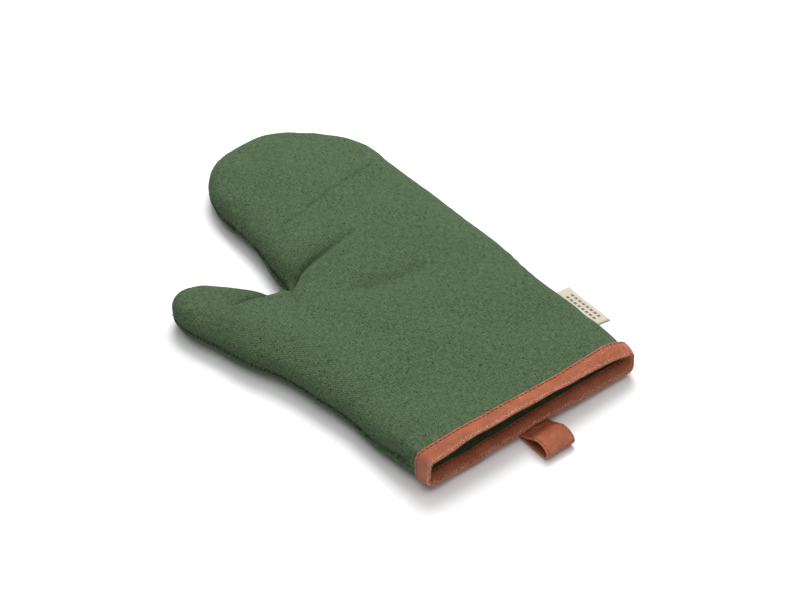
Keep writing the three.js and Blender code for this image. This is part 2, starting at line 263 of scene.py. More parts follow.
def panel_height(plan, side, from_seam):
    """The height of a panel's outside over plan points at a distance from the seam."""
    section = section_at(plan[:, 1])
    inward = 1 - np.clip(from_seam / section["round"], 0, 1)
    power = section["power"]
    lift = (1 - inward ** power) ** (1 / power)
    return section["seam"] + SIGN[side] * section[PANEL_NAME[side]] * lift


def cuff_edge(side, y):
    """How far across one side of the cuff lies, at a distance from the mouth."""
    return mix(side[0][0], side[1][0], y / CUFF_LENGTH)


SEAM_STEPS = 60
CUFF_PLACES = (MOUTH_EDGE, SQUEEZE_END, CUFF_LENGTH)


def seam_path():
    """The seam in plan, from the mouth's left end round to its right end."""
    left = [(cuff_edge(CUFF_LEFT, y), y) for y in CUFF_PLACES]
    right = [(cuff_edge(CUFF_RIGHT, y), y) for y in CUFF_PLACES[::-1]]
    return catmull_rom([*left, *SEAM_POINTS, *right], SEAM_STEPS)


SEAM = seam_path()


def seam_in_space():
    """The seam at its height, before the cuff is warped."""
    return np.column_stack([SEAM, section_at(SEAM[:, 1])["seam"]])


MESH_STEP = 4.4                     # spacing of the coarse cloth mesh
RING_ARCS = (0, 0.9, 2.2, 4.2, 7.0, 10.0, 13.0)     # distances up the rounded side from the seam
RING_INSETS = [BODY["round"] * (1 - math.cos(arc / BODY["round"])) for arc in RING_ARCS]


def inward_normals(path):
    """Directions from the seam into the mitt, square across at the cuff."""
    along = tangents(path)
    inward = np.stack([along[:, 1], -along[:, 0]], 1)
    straight = path[:, 1] < CUFF_LENGTH / 2
    inward[straight] = np.stack([-np.sign(path[straight, 0]), np.zeros(straight.sum())], 1)
    return inward


def seam_stations():
    """Places on the seam, closer together where the rings behind them fan out."""
    inward = inward_normals(SEAM)
    ring = SEAM + inward * RING_INSETS[-1]
    outer_steps = np.linalg.norm(np.diff(SEAM, axis=0), axis=1)
    ring_steps = np.linalg.norm(np.diff(ring, axis=0), axis=1)
    total = np.concatenate([[0], np.cumsum(np.maximum(outer_steps, ring_steps))])
    lengths = np.linspace(0, total[-1], round(total[-1] / MESH_STEP) + 1)
    at = np.stack([np.interp(lengths, total, axis) for axis in SEAM.T], 1)
    facing = np.stack([np.interp(lengths, total, axis) for axis in inward.T], 1)
    return at, facing / np.linalg.norm(facing, axis=1)[:, None]


def inside_polygon(points, polygon):
    """Whether each point is inside a closed polygon."""
    x, y = points.T
    inside = np.zeros(len(points), bool)
    for (ax, ay), (bx, by) in zip(polygon, np.roll(polygon, -1, axis=0)):
        crosses = (ay > y) != (by > y)
        with np.errstate(divide="ignore", invalid="ignore"):
            reach = ax + (y - ay) * (bx - ax) / (by - ay)
        inside ^= crosses & (x < reach)
    return inside


EDGE_GAP = 0.55                     # grid points keep this share of a step from the edge


def flat_mesh(ring):
    """Points and triangles over the plan inside the last ring, on a regular grid."""
    across = ring[-1][0] - ring[0][0]
    count = round(across / MESH_STEP)
    mouth = [mix(ring[-1], ring[0], i / count) for i in range(1, count)]
    edge = np.array([*ring, *mouth])
    low, high = edge.min(0), edge.max(0)
    counts = np.round((high - low) / MESH_STEP).astype(int)
    axes = [np.linspace(low[i], high[i], counts[i] + 1) for i in (0, 1)]
    grid = np.stack(np.meshgrid(*axes), -1).reshape(-1, 2)
    dense = at_lengths(np.array([*edge, edge[0]]), np.arange(0, arc_lengths(edge)[-1], 1.0))
    grid = grid[inside_polygon(grid, edge)]
    _, distance = nearest(dense, grid)
    grid = grid[distance > MESH_STEP * EDGE_GAP]
    points = np.concatenate([edge, grid])
    loop = [(i, (i + 1) % len(edge)) for i in range(len(edge))]
    found = delaunay_2d_cdt([Vector(p) for p in points], loop, [], 1, 1e-5)
    sources = [min(s) for s in found[3]]
    triangles = [tuple(sources[i] for i in face) for face in found[2]]
    return points, triangles


def plan_mesh():
    """The panels' common mesh in plan: its points, its faces seen from above, and the rings
    beside the seam with their directions inward."""
    at, inward = seam_stations()
    rings = [at + inward * inset for inset in RING_INSETS]
    count = len(at)
    points, triangles = flat_mesh(rings[-1])
    plan = np.concatenate([*rings[:-1], points])
    shift = count * (len(rings) - 1)
    faces = [tuple(shift + i for i in triangle) for triangle in triangles]
    for k in range(len(rings) - 1):
        for i in range(count - 1):
            here, inner = k * count + i, (k + 1) * count + i
            faces.append((here, inner, inner + 1, here + 1))
    return plan, faces, rings, inward


BACK_WEAVE_SHIFT = 400              # keeps the back's weave clear of the palm's


def weave_positions(plan, heights, rings, inward, side):
    """The flattened cloth's coordinates, with the side's arc laid out flat, in millimetres."""
    flat = plan.copy()
    count = len(rings[0])
    reach = np.zeros(count)
    for k in range(len(rings) - 2, -1, -1):
        outer = slice(k * count, (k + 1) * count)
        inner = slice((k + 1) * count, (k + 2) * count)
        step = np.hypot(RING_INSETS[k + 1] - RING_INSETS[k], heights[outer] - heights[inner])
        reach += step
        flat[outer] = rings[-1] - inward * reach[:, None]
    if side == BACK:
        flat = flat * (-1, 1) + (BACK_WEAVE_SHIFT, 0)
    return flat


QUAD_ANGLE = math.radians(50)


def join_to_quads(work):
    """Joins the plan's triangles to quads, without crossing from one panel to the other."""
    bmesh.ops.join_triangles(
        work, faces=[f for f in work.faces if len(f.verts) == 3], cmp_materials=True, cmp_uvs=True,
        angle_face_threshold=QUAD_ANGLE, angle_shape_threshold=QUAD_ANGLE,
    )


def both_panels(faces, weave, below):
    """The palm's faces and then the back's, with their weave coordinates and panels."""
    turned = [face[::-1] for face in faces]
    back_faces = [tuple(int(below[i]) for i in face) for face in turned]
    uvs = [weave[PALM][i] for face in faces for i in face]
    uvs += [weave[BACK][i] for face in turned for i in face]
    return faces + back_faces, uvs, [PALM] * len(faces) + [BACK] * len(faces)


def coarse_shell():
    """The whole outside as one coarse mesh object, open at the mouth."""
    plan, faces, rings, inward = plan_mesh()
    _, from_seam = nearest(SEAM, plan)
    count = len(rings[0])
    heights = {side: panel_height(plan, side, from_seam) for side in (PALM, BACK)}
    weave = {side: weave_positions(plan, heights[side], rings, inward, side) for side in (PALM, BACK)}
    points = [np.column_stack([plan, heights[PALM]]), np.column_stack([plan, heights[BACK]])[count:]]
    size = len(plan)
    below = np.concatenate([np.arange(count), np.arange(size, 2 * size - count)])
    shell_faces, uvs, panels = both_panels(faces, weave, below)
    mesh = bpy.data.meshes.new("shell")
    mesh.from_pydata((np.concatenate(points) * MM).tolist(), [], shell_faces)
    layer = mesh.uv_layers.new(name="weave")
    layer.data.foreach_set("uv", (np.array(uvs, np.float32) * MM).ravel())
    for name in PANEL_NAME.values():
        mesh.materials.append(bpy.data.materials.new(name))
    mesh.polygons.foreach_set("material_index", panels)
    work = bmesh.new()
    work.from_mesh(mesh)
    join_to_quads(work)
    work.to_mesh(mesh)
    work.free()
    shell = bpy.data.objects.new("shell", mesh)
    bpy.context.scene.collection.objects.link(shell)
    return shell


# ---- Filling out the cloth ----

PRESSURE = 4.0
CLOTH_FRAMES = 20
CLOTH_QUALITY = 6
SWELL_CAP = 2.6                     # the padding stops the cloth from moving further than this


def positions(mesh):
    co = np.empty(len(mesh.vertices) * 3, np.float32)
    mesh.vertices.foreach_get("co", co)
    return co.reshape(-1, 3).astype(float)


def pin_weights(points):
    """How firmly each point is held: wholly on the seam and at the cuff."""
    seam = seam_in_space()
    _, distance = nearest(seam, points)
    held = 1 - smoothstep(distance, 0.2, 3.0)
    cuff = 1 - smoothstep(points[:, 1], SQUEEZE_END, CUFF_LENGTH + 25)
    return np.maximum(held, cuff)


def simulated_swell(shell):
    """Where Blender's cloth puts the shell's points when air presses it out from inside."""
    work = shell.copy()
    work.data = shell.data.copy()
    bpy.context.scene.collection.objects.link(work)
    start = positions(work.data) / MM
    group = work.vertex_groups.new(name="held")
    for i, weight in enumerate(pin_weights(start)):
        group.add([i], float(weight), "REPLACE")
    cloth = work.modifiers.new("cloth", "CLOTH")
    settings = cloth.settings
    settings.vertex_group_mass = "held"
    settings.quality = CLOTH_QUALITY
    settings.use_pressure = True
    settings.uniform_pressure_force = PRESSURE
    settings.effector_weights.gravity = 0
    cloth.point_cache.frame_start = 1
    cloth.point_cache.frame_end = CLOTH_FRAMES
    for step in range(1, CLOTH_FRAMES + 1):
        bpy.context.scene.frame_set(step)
    depsgraph = bpy.context.evaluated_depsgraph_get()
    end = positions(work.evaluated_get(depsgraph).data) / MM
    bpy.context.scene.frame_set(1)
    bpy.data.objects.remove(work)
    return end - start


def swell(shell):
    """Fills the shell out with a capped cloth simulation."""
    moved = simulated_swell(shell)
    length = np.maximum(np.linalg.norm(moved, axis=1), 1e-6)
    capped = moved * (SWELL_CAP * np.tanh(length / SWELL_CAP) / length)[:, None]
    points = positions(shell.data) / MM + capped
    shell.data.vertices.foreach_set("co", (points * MM).astype(np.float32).ravel())
    shell.data.update()


def subdivided(shell, levels):
    """The shell's points, normals, quads, weave coordinates and panels after subdivision."""
    modifier = shell.modifiers.new("smooth", "SUBSURF")
    modifier.levels = levels
    modifier.boundary_smooth = "PRESERVE_CORNERS"
    depsgraph = bpy.context.evaluated_depsgraph_get()
    mesh = bpy.data.meshes.new_from_object(shell.evaluated_get(depsgraph), depsgraph=depsgraph)
    shell.modifiers.remove(modifier)
    count = len(mesh.polygons)
    corners = np.empty(count * 4, np.int32)
    mesh.loops.foreach_get("vertex_index", corners)
    uvs = np.empty(count * 8, np.float32)
    mesh.uv_layers["weave"].data.foreach_get("uv", uvs)
    panels = np.empty(count, np.int32)
    mesh.polygons.foreach_get("material_index", panels)
    return {
        "points": positions(mesh) / MM,
        "normals": normals_of(mesh),
        "quads": corners.reshape(-1, 4),
        "uvs": uvs.reshape(-1, 4, 2),
        "panels": panels,
    }


def normals_of(mesh):
    values = np.empty(len(mesh.vertices) * 3, np.float32)
    mesh.vertex_normals.foreach_get("vector", values)
    return values.reshape(-1, 3).astype(float)


def refresh_normals(surface):
    """Works out a surface's vertex normals again after its points have moved."""
    points, quads = surface["points"], surface["quads"]
    corners = points[quads]
    facing = np.cross(corners[:, 2] - corners[:, 0], corners[:, 3] - corners[:, 1])
    total = np.zeros_like(points)
    for k in range(4):
        np.add.at(total, quads[:, k], facing)
    surface["normals"] = total / np.maximum(np.linalg.norm(total, axis=1), 1e-12)[:, None]


# ---- Sculpting the padding, the seam and the folds ----

# How far each lip is lifted at places across the cuff, and how far its front drops from there.
TOP_LIP = ((-80, 0.6), (-68, 1.7), (-52, 2.2), (-37, 1.8), (-10, 1.0), (10, 0.2), (30, 0.1),
           (45, 0.7), (57, 2.0), (68, 1.2), (80, -5.5))
TOP_DROP = ((-80, 0.8), (-68, 0.8), (-52, -0.6), (-37, -1.4), (-6, -1.6), (10, -1.4), (25, -1.0),
            (41, 0.0), (57, 2.6), (68, 4.0), (80, 0.0))
LOW_LIP = ((-80, 1.5), (-45, -0.8), (-5, 1.0), (20, 1.4), (50, 1.4), (80, 1.2))
LOW_DROP = ((-80, 0.9), (-52, 1.9), (-37, 1.2), (-6, 0.5), (10, 0.6), (28, 2.2), (45, 2.6), (80, 3.6))
EDGE_SAG = 3.4                      # how far the palm's edge by the label sinks behind the binding


def warp_cuff(points):
    """Lifts and lowers the two lips of the mouth where the cloth waves, and droops their front."""
    x, y, z = points.T
    upper = smoothstep(z, 8, 20)
    lift = mix(soft_interp(x, LOW_LIP), soft_interp(x, TOP_LIP), upper)
    drop = mix(soft_interp(x, LOW_DROP), soft_interp(x, TOP_DROP), upper)
    sag = EDGE_SAG * smoothstep(x, 58, 79) * bump(y - 20, 13) * upper
    moved = points.copy()
    moved[:, 2] += lift * (1 - smoothstep(y, 12, 60)) - drop * (1 - smoothstep(y, -1, 10)) - sag
    return moved


# Each crease on the palm: its course, its depth at both ends, its half width on the cuff's side
# and on the fingers' side, and the height and distance of the swell on the cuff's side.
CREASES = (
    {"course": ((-51, 171), (-41, 175.5), (-26, 178), (-8, 178.5), (10, 181.5)), "depth": (6.0, 0.8),
     "near": 3.0, "far": 12.0, "swell": (1.2, 0.8), "behind": 6},
    {"course": ((-24, 214), (-5, 218), (15, 222), (39, 226), (64, 229.5)), "depth": (0.9, 1.2),
     "near": 1.0, "far": 3.2, "swell": (0.6, 0.6), "behind": 3},
    {"course": ((-64, 172), (-70, 171), (-77, 172.4), (-85, 173), (-93, 174)), "depth": (3.6, 1.6),
     "near": 3.0, "far": 12.0, "swell": (0.8, 1.0), "behind": 5},
    {"course": ((-51, 170), (-54, 160), (-57, 151), (-63, 141)), "depth": (1.4, 0.2),
     "near": 5.0, "far": 5.0, "swell": (0.4, 0.1), "behind": 9},
    {"course": ((-88, 19), (-78, 22.2), (-70, 23.8), (-60, 22.5)), "depth": (1.8, 0.3),
     "near": 2.0, "far": 4.0, "swell": (1.0, 0.2), "behind": 4},
    {"course": ((-90, 67), (-79, 65.5), (-66, 65)), "depth": (0.9, 0.2),
     "near": 4.0, "far": 4.0, "swell": (0.3, 0.1), "behind": 8},
    {"course": ((-16, 137), (4, 134), (26, 130.5)), "depth": (1.5, 0.8),
     "near": 11, "far": 11, "swell": (0.6, 0.4), "behind": 20},
)
CREASE_STEPS = 24
FOLD_SHARE = 0.55                   # this much of a crease is its sharp fold, the rest its slope
FOLD_HALF = 2.6
FADE_OUT = 0.12                     # a crease fades over this share of its length, at its far end
UPPER_FACE = (0.1, 0.6)             # the normals' heights between which the creases come in
SWELL_SPREAD = 0.8                  # the swell's half width, as a share of "behind"
SWELL_PAST = 0.4                    # this much of the swell carries on past the crease
FULL_SHADE_DEPTH = 4.0              # a crease this deep gets the full painted shade
SHADE_HALF = 2.0                    # the narrowest half width of the shade past a fold
SHADE_SHIFT = 0.6                   # the shade lies this far past the fold's bottom
SHADE_SHARE = 0.6                   # this much of the shade follows the fold, the rest the slope
SHADE_PAST, SHADE_BEFORE = 0.6, 0.3             # the shade's half widths, as shares of "near"
# how dark the painted shade beside the seam goes, and its half width
SEAM_SHADE, SEAM_SHADE_HALF = 0.55, 4.5


def crease_place(plan, crease):
    """Where plan points lie by a crease: how far past it, along it, and how it fades out."""
    course = catmull_rom(crease["course"], CREASE_STEPS)
    index, distance = nearest(course, plan)
    across = tangents(course)[index]
    offset = plan - course[index]
    towards_fingers = np.sign(across[:, 0] * offset[:, 1] - across[:, 1] * offset[:, 0])
    if crease["course"][-1][0] < crease["course"][0][0]:
        towards_fingers = -towards_fingers
    signed = distance * towards_fingers
    share = arc_lengths(course)[index] / arc_lengths(course)[-1]
    return signed, share, smoothstep(1 - share, 0.0, FADE_OUT)


def crease_push(plan, crease):
    """How far a crease pushes the palm in, or its swell lets it out, at plan points."""
    signed, share, fade = crease_place(plan, crease)
    depth = mix(*crease["depth"], share) * fade
    swell_height = mix(*crease["swell"], share) * fade
    fold_half = max(FOLD_HALF, crease["near"])
    fold = bump(signed, np.where(signed > 0, fold_half, crease["near"]))
    slope = bump(signed, np.where(signed > 0, crease["far"], crease["near"]))
    valley = mix(slope, fold, FOLD_SHARE)
    swelling = swell_height * bump(signed + crease["behind"], crease["behind"] * SWELL_SPREAD)
    return swelling * np.where(signed < 0, 1, SWELL_PAST) - depth * valley


def crease_shade(plan, crease):
    """How strongly painted shade darkens the cloth in a crease, from 0 to 1."""
    signed, share, fade = crease_place(plan, crease)
    strength = np.clip(mix(*crease["depth"], share) / FULL_SHADE_DEPTH, 0, 1) * fade
    past = max(SHADE_HALF, SHADE_PAST * crease["near"])
    before = SHADE_BEFORE * crease["near"]
    fold = bump(signed - SHADE_SHIFT, np.where(signed > SHADE_SHIFT, past, before))
    slope = bump(signed, np.where(signed > 0, crease["far"], before))
    return strength * mix(slope, fold, SHADE_SHARE)


def crease_all(points, normals):
    """Creases the upper face only, fading down the sides: the push and the painted shade."""
    upper = smoothstep(normals[:, 2], *UPPER_FACE)
    push = sum(crease_push(points[:, :2], crease) for crease in CREASES)
    shade = sum(crease_shade(points[:, :2], crease) for crease in CREASES)
    return push * upper, np.clip(shade, 0, 1) * upper


GROOVE_DEPTH, GROOVE_WIDTH = 1.5, 1.3
PINCH_DEPTH, PINCH_WIDTH = 0.7, 5.0
PUCKER_PITCH, PUCKER_HEIGHT, PUCKER_REACH = 9.0, 0.15, 6.0
PUCKER_DRIFT = 2.2                  # how far the puckers wander from an even spacing, in radians


def seam_pull(points, panel_sign):
    """The groove along the seam with the puckers its stitches draw beside it, and the painted shade
    along it.
    """
    seam = seam_in_space()
    index, distance = nearest(seam, points)
    along = arc_lengths(seam)[index]
    drift = ripple(np.column_stack([along, panel_sign * 20]), 40, 5) * PUCKER_DRIFT
    pucker = np.sin(2 * math.pi * along / PUCKER_PITCH + drift + panel_sign)
    strength = 0.55 + 0.45 * ripple(np.column_stack([along, panel_sign * 9]), 55, 6)
    raised = PUCKER_HEIGHT * pucker * strength * bump(distance - 2.5, PUCKER_REACH)
    free = smoothstep(points[:, 1], BINDING_WIDTH, SQUEEZE_END)
    groove = GROOVE_DEPTH * bump(distance, GROOVE_WIDTH) + PINCH_DEPTH * bump(distance, PINCH_WIDTH)
    return (raised - groove) * mix(0.35, 1.0, free), SEAM_SHADE * bump(distance, SEAM_SHADE_HALF) * free


UNDULATION = ((0.75, 70, 11), (0.30, 32, 12), (0.05, 11, 13))       # height, wavelength, seed


def soft_undulation(points):
    """The uneven filling of the padding, at three sizes."""
    return sum(height * ripple(points, length, seed) for height, length, seed in UNDULATION)


def sculpt(surface):
    """Gives a smooth shell its folds, its seam and its resting place."""
    points, normals = surface["points"], surface["normals"]
    side_sign = np.sign(points[:, 2] - section_at(points[:, 1])["seam"])
    free = smoothstep(points[:, 1], SQUEEZE_END, CUFF_LENGTH)
    push, creased = crease_all(points, normals)
    pull, seamed = seam_pull(points, side_sign)
    # painted shade for the canvas: in the creases and beside the seam
    surface["shade"] = np.maximum(creased, seamed)
    push += pull
    push += soft_undulation(points) * mix(0.2, 1.0, free)
    points = points + normals * push[:, None]
    surface["points"] = settle(warp_cuff(points))
    surface["through"] = normals
    refresh_normals(surface)


FLOOR_CLEARANCE = 0.25
SETTLE_SOFTNESS = 0.8               # how gradually the underside goes flat


def settle(points):
    """Flattens whatever would reach below the surface that the mitt lies on."""
    moved = points.copy()
    low = moved[:, 2] - FLOOR_CLEARANCE
    moved[:, 2] = FLOOR_CLEARANCE + SETTLE_SOFTNESS * np.logaddexp(0, low / SETTLE_SOFTNESS)
    untouched = low > 20 * SETTLE_SOFTNESS
    moved[untouched, 2] = points[untouched, 2]
    return moved


# ---- The panels' layers ----

THUMB_CUT = -6.2                    # where the thumb's pieces start, outward of CAD_CROTCH


def outward_of_crotch(plan):
    return (plan - CAD_CROTCH) @ THUMB_OUTWARD


def in_thumb(plan):
    """Whether plan points belong to the thumb's pieces."""
    beyond = outward_of_crotch(plan) > THUMB_CUT
    return beyond & ((plan[:, 0] < CROTCH[0]) | (plan[:, 1] < CROTCH[1]))


CUFF_PULL, CUFF_PULL_HALF = 0.8, 3.0            # an extra dip of the layers behind the binding


def layer_depth(layer, face, y):
    """How deep a layer's face lies below the sculpted outside."""
    pressed = 1 - smoothstep(y, BINDING_WIDTH + 1, SQUEEZE_END)
    depth = pinched(mix(BODY_DEPTHS[layer][face], CUFF_DEPTHS[layer][face], pressed), y)
    return depth + CUFF_PULL * bump(y - BINDING_WIDTH - 1.5, CUFF_PULL_HALF)


def closed_layer(surface, chosen, depths):
    """A closed solid between two depths under the chosen quads of a surface."""
    quads, uvs = surface["quads"][chosen], surface["uvs"][chosen]
    used, compact = np.unique(quads, return_inverse=True)
    compact = compact.reshape(quads.shape)
    points, normals, through = (surface[key][used] for key in ("points", "normals", "through"))
    shade = surface["shade"][used]
    outside = points - through * depths[0][used][:, None]
    inside = points - through * depths[1][used][:, None]
    count = len(used)
    edges = np.stack([compact, np.roll(compact, -1, axis=1)], -1).reshape(-1, 2)
    edge_uvs = np.stack([uvs, np.roll(uvs, -1, axis=1)], 2).reshape(-1, 2, 2)
    keys = np.sort(edges, axis=1) @ (count, 1)
    _, where, times = np.unique(keys, return_index=True, return_counts=True)
    rim = where[times == 1]
    rim_faces = np.column_stack([edges[rim][:, ::-1], edges[rim] + count])
    rim_uvs = np.concatenate([edge_uvs[rim][:, ::-1], edge_uvs[rim]], axis=1)
    faces = np.concatenate([compact, compact[:, ::-1] + count, rim_faces])
    face_uvs = np.concatenate([uvs, uvs[:, ::-1], rim_uvs])
    return {
        "points": np.concatenate([outside, inside]),
        "normals": np.concatenate([normals, -normals]),
        "faces": [tuple(face) for face in faces.tolist()],
        "uvs": face_uvs,
        "flat": uvs,
        "shade": np.concatenate([shade, shade]),
    }


def blend_fingers(piece):
    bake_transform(piece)


def blend_thumb(piece):
    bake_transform(piece)


CREASE_CLEARANCE = 1.8              # the inner layers lie this much deeper under a full crease


def add_layer(surface, layer, material):
    """One layer of both panels, each in a hand-and-fingers piece and a thumb piece."""
    y = surface["points"][:, 1]
    sunk = 0 if layer == "outer" else CREASE_CLEARANCE * surface["shade"]
    depths = [layer_depth(layer, face, y) + sunk for face in (0, 1)]
    middles = surface["points"][surface["quads"]].mean(1)[:, :2]
    thumb = in_thumb(middles)
    for panel in (PALM, BACK):
        name = f"{layer}_{PANEL_NAME[panel]}"
        for part, chosen in (("main", ~thumb), ("thumb", thumb)):
            solid = closed_layer(surface, chosen & (surface["panels"] == panel), depths)
            piece = make_piece(
                f"{name}_{part}_cloth", solid["points"], solid["faces"],
                material, solid["uvs"], solid["normals"],
            )
            # the painted shade, which only the canvas reads
            mark(piece, "shade", solid["shade"])
            if part == "main":
                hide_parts(f"{name}_hand", f"{name}_fingers")
                blend_fingers(piece)
            else:
                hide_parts(f"{name}_thumb")
                blend_thumb(piece)


# ---- Threads ----

THREAD_SIDES = 6
STITCH_SINK = 0.05                  # the outer seam's stitches lie this far below its groove


def tube_points(path, radii):
    """Rings of points round a path, each of its own radius."""
    along = tangents(path)
    across = np.cross(along, (0.0, 0.0, 1.0))
    across /= np.maximum(np.linalg.norm(across, axis=1), 1e-9)[:, None]
    over = np.cross(across, along)
    angles = np.arange(THREAD_SIDES) * 2 * math.pi / THREAD_SIDES
    rings = [path + radii[:, None] * (across * math.cos(a) + over * math.sin(a)) for a in angles]
    return np.stack(rings, 1).reshape(-1, 3)


def thread_run(name, paths, radius, material):
    """One piece made of short closed stitches, one along each path."""
    points, faces = [], []
    for path in paths:
        share = np.linspace(-1, 1, len(path))
        radii = radius * np.sqrt(np.maximum(1 - np.abs(share) ** 4, 0.05))
        start = sum(len(p) for p in points)
        rings = tube_points(np.asarray(path), radii)
        faces += grid_faces(len(path), THREAD_SIDES, round_columns=True, start=start)
        last = start + (len(path) - 1) * THREAD_SIDES
        faces.append(tuple(range(start, start + THREAD_SIDES))[::-1])
        faces.append(tuple(range(last, last + THREAD_SIDES)))
        points.append(rings)
    return face_outward(make_piece(name, np.concatenate(points), faces, material))


STITCH_ARCH = np.array([-0.30, 0.0, 0.10, 0.14, 0.10, 0.0, -0.30])     # how a stitch rises


def stitches_along(line, outward, stitch):
    """Paths of short stitches along a line of points, arched over their outward directions."""
    total = arc_lengths(line)[-1]
    count = int(total // stitch["pitch"])
    share = np.linspace(-0.5, 0.5, len(STITCH_ARCH))
    paths = []
    for i in range(count):
        middle = (i + 0.5) * total / count
        places = np.clip(middle + share * stitch["length"], 0, total)
        path = at_lengths(line, places)
        lift = at_lengths_of(line, outward, places)
        side = np.cross(tangents(path), lift)
        slant = side * (share * stitch["slant"])[:, None]
        paths.append(path + lift * STITCH_ARCH[:, None] + slant)
    return paths


def at_lengths_of(line, values, lengths):
    """Unit vectors kept with a line's points, at distances along it."""
    along = arc_lengths(line)
    found = np.stack([np.interp(lengths, along, axis) for axis in values.T], 1)
    return found / np.linalg.norm(found, axis=1)[:, None]


SEAM_STITCH = {"pitch": 3.4, "length": 2.4, "slant": 0.5, "radius": 0.28}
LINING_SEAM_INSET = 2.4             # the lining's seam lies this far inside the lining
SMOOTHING = 9                       # places averaged where a seam's thread is laid on the cloth


def laid_on(surface, line, outward):
    """Moves a line in or out until it lies on the surface, smoothly along its length."""
    index, _ = nearest(surface["points"], line)
    gap = np.sum((surface["points"][index] - line) * outward, axis=1)
    padded = np.pad(gap, SMOOTHING // 2, mode="edge")
    smooth = np.convolve(padded, np.full(SMOOTHING, 1 / SMOOTHING), mode="valid")
    return line + outward * smooth[:, None]


def add_seam_threads(surface, material):
    """The stitches at the bottom of the outer seam's groove, and the lining's inside it."""
    inward = inward_normals(SEAM)
    seam = seam_in_space()
    outward = np.column_stack([-inward, np.zeros(len(SEAM))])
    depths = {
        "outer": GROOVE_DEPTH + PINCH_DEPTH + STITCH_SINK,
        "lining": BODY_DEPTHS["lining"][1] + LINING_SEAM_INSET,
    }
    for bag, depth in depths.items():
        line = seam - outward * depth
        keep = SEAM[:, 1] > SQUEEZE_END
        line, facing = line[keep], outward[keep]
        if bag == "outer":
            line = laid_on(surface, line, facing)
        paths = stitches_along(line, facing, SEAM_STITCH)
        thumb = in_thumb(np.array([path.mean(0)[:2] for path in paths]))
        groups = {
            "main": ([p for p, t in zip(paths, thumb) if not t], ("fingers", "crotch", "right", "left")),
            "thumb": ([p for p, t in zip(paths, thumb) if t], ("thumb",)),
        }
        for part, (chosen, stretches) in groups.items():
            name = f"{bag}_seam_stitches_{part}"
            piece = thread_run(name, chosen, SEAM_STITCH["radius"], material)
            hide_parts(*(f"{bag}_seam_thread_{stretch}" for stretch in stretches))
            (blend_thumb if part == "thumb" else blend_fingers)(piece)


# ---- The binding round the mouth ----

CORNER_STEPS = 14
LIP_STEPS = 108


def mouth_places():
    """Each place round the mouth: its share across, its angle up the corner and its panel."""
    rise = [(i / CORNER_STEPS) * math.pi / 2 for i in range(CORNER_STEPS + 1)]
    across = [i / LIP_STEPS for i in range(1, LIP_STEPS)]
    upper = [(0, a, PALM) for a in rise] + [(s, math.pi / 2, PALM) for s in across]
    upper += [(1, a, PALM) for a in rise[::-1]]
    lower = [(1, a, BACK) for a in rise[1:]] + [(1 - s, math.pi / 2, BACK) for s in across]
    return upper + lower + [(0, a, BACK) for a in rise[:0:-1]]


MOUTH = mouth_places()


def mouth_line(y, depth):
    """The line round the mouth at a distance from it and a depth below the outside."""
    section = section_at(y)
    left, right = cuff_edge(CUFF_LEFT, y), cuff_edge(CUFF_RIGHT, y)
    sharp = 2 / section["power"]
    line = []
    depth = pinched(depth, y)
    for share, angle, panel in MOUTH:
        inset = section["round"] - (section["round"] - depth) * math.cos(angle) ** sharp
        rise = (section[PANEL_NAME[panel]] - depth) * math.sin(angle) ** sharp
        x = mix(left + inset, right - inset, share)
        line.append((x, y, section["seam"] + SIGN[panel] * rise))
    return warp_cuff(np.array(line))


FOLD_START = 2.6                    # the binding's fold is rounded over this far from the mouth


def fold_profile(thickness_in):
    """The binding's section: out along one leg, round the fold and back, as (depth, y)."""
    low, high = thickness_in, BINDING_DEPTH - thickness_in
    middle, half = BINDING_DEPTH / 2, (high - low) / 2
    leg = np.arange(BINDING_WIDTH - 0.4, FOLD_START, -1.0)
    reach = FOLD_START - thickness_in
    turn = np.linspace(0, math.pi, 11)
    outer = [(low, y) for y in leg]
    fold = [(middle - half * math.cos(a), FOLD_START - reach * math.sin(a) ** 0.9) for a in turn]
    inner = [(high, y) for y in leg[::-1] if y < INNER_LEG - 0.3]
    return outer, fold, inner


def binding_section():
    """The closed section of the folded strip, with rounded cut edges."""
    outer, fold, inner = fold_profile(0)
    outer_in, fold_in, inner_in = fold_profile(BINDING_THICKNESS)
    start = [(0.5, BINDING_WIDTH), (0.15, BINDING_WIDTH - 0.1)]
    end = [(BINDING_DEPTH - 0.15, INNER_LEG - 0.1), (BINDING_DEPTH - 0.5, INNER_LEG)]
    back_start = [(BINDING_DEPTH - 0.85, INNER_LEG - 0.1)]
    back_end = [(0.85, BINDING_WIDTH - 0.1)]
    facing = [*start, *outer, *fold, *inner, *end]
    hidden = [*back_start, *inner_in[::-1], *fold_in[::-1], *outer_in[::-1], *back_end]
    return facing, hidden


BINDING_PUFF = 0.35
STITCH_DIP, STITCH_DIP_WIDTH = 0.30, 0.9
WRINKLE_HEIGHT, WRINKLE_LENGTH = 0.10, 3.0      # fine wrinkles over the fold
LUMP_HEIGHT, LUMP_LENGTH = 0.16, 26             # broad unevenness along the strip
LEAST_WEAR = 0.08
FOLD_GLINTS_AND_WEAR, STRAP_WEAR = 0.9, 0.4    # how much paler the binding's fold and the strap's edges get: leather worn by rubbing, and on the fold painted glints as well


def leather_relief(around, y, depth):
    """How far the binding's leather stands out, from its stitch line, its puff and its wrinkles."""
    stitched = STITCH_LINE if depth < BINDING_DEPTH / 2 else INNER_STITCH_LINE
    dip = STITCH_DIP * bump(y - stitched, STITCH_DIP_WIDTH)
    puff = BINDING_PUFF * math.sin(math.pi * min(max(y, 0), stitched) / stitched)
    rows = np.column_stack([around, np.full(len(around), y * 0.45 + depth * 3)])
    wrinkle = WRINKLE_HEIGHT * ripple(rows, WRINKLE_LENGTH, 21) * math.exp(-((y - 1.0) / 3.0) ** 2)
    lump = LUMP_HEIGHT * ripple(rows, LUMP_LENGTH, 22)
    return puff - dip + wrinkle + lump


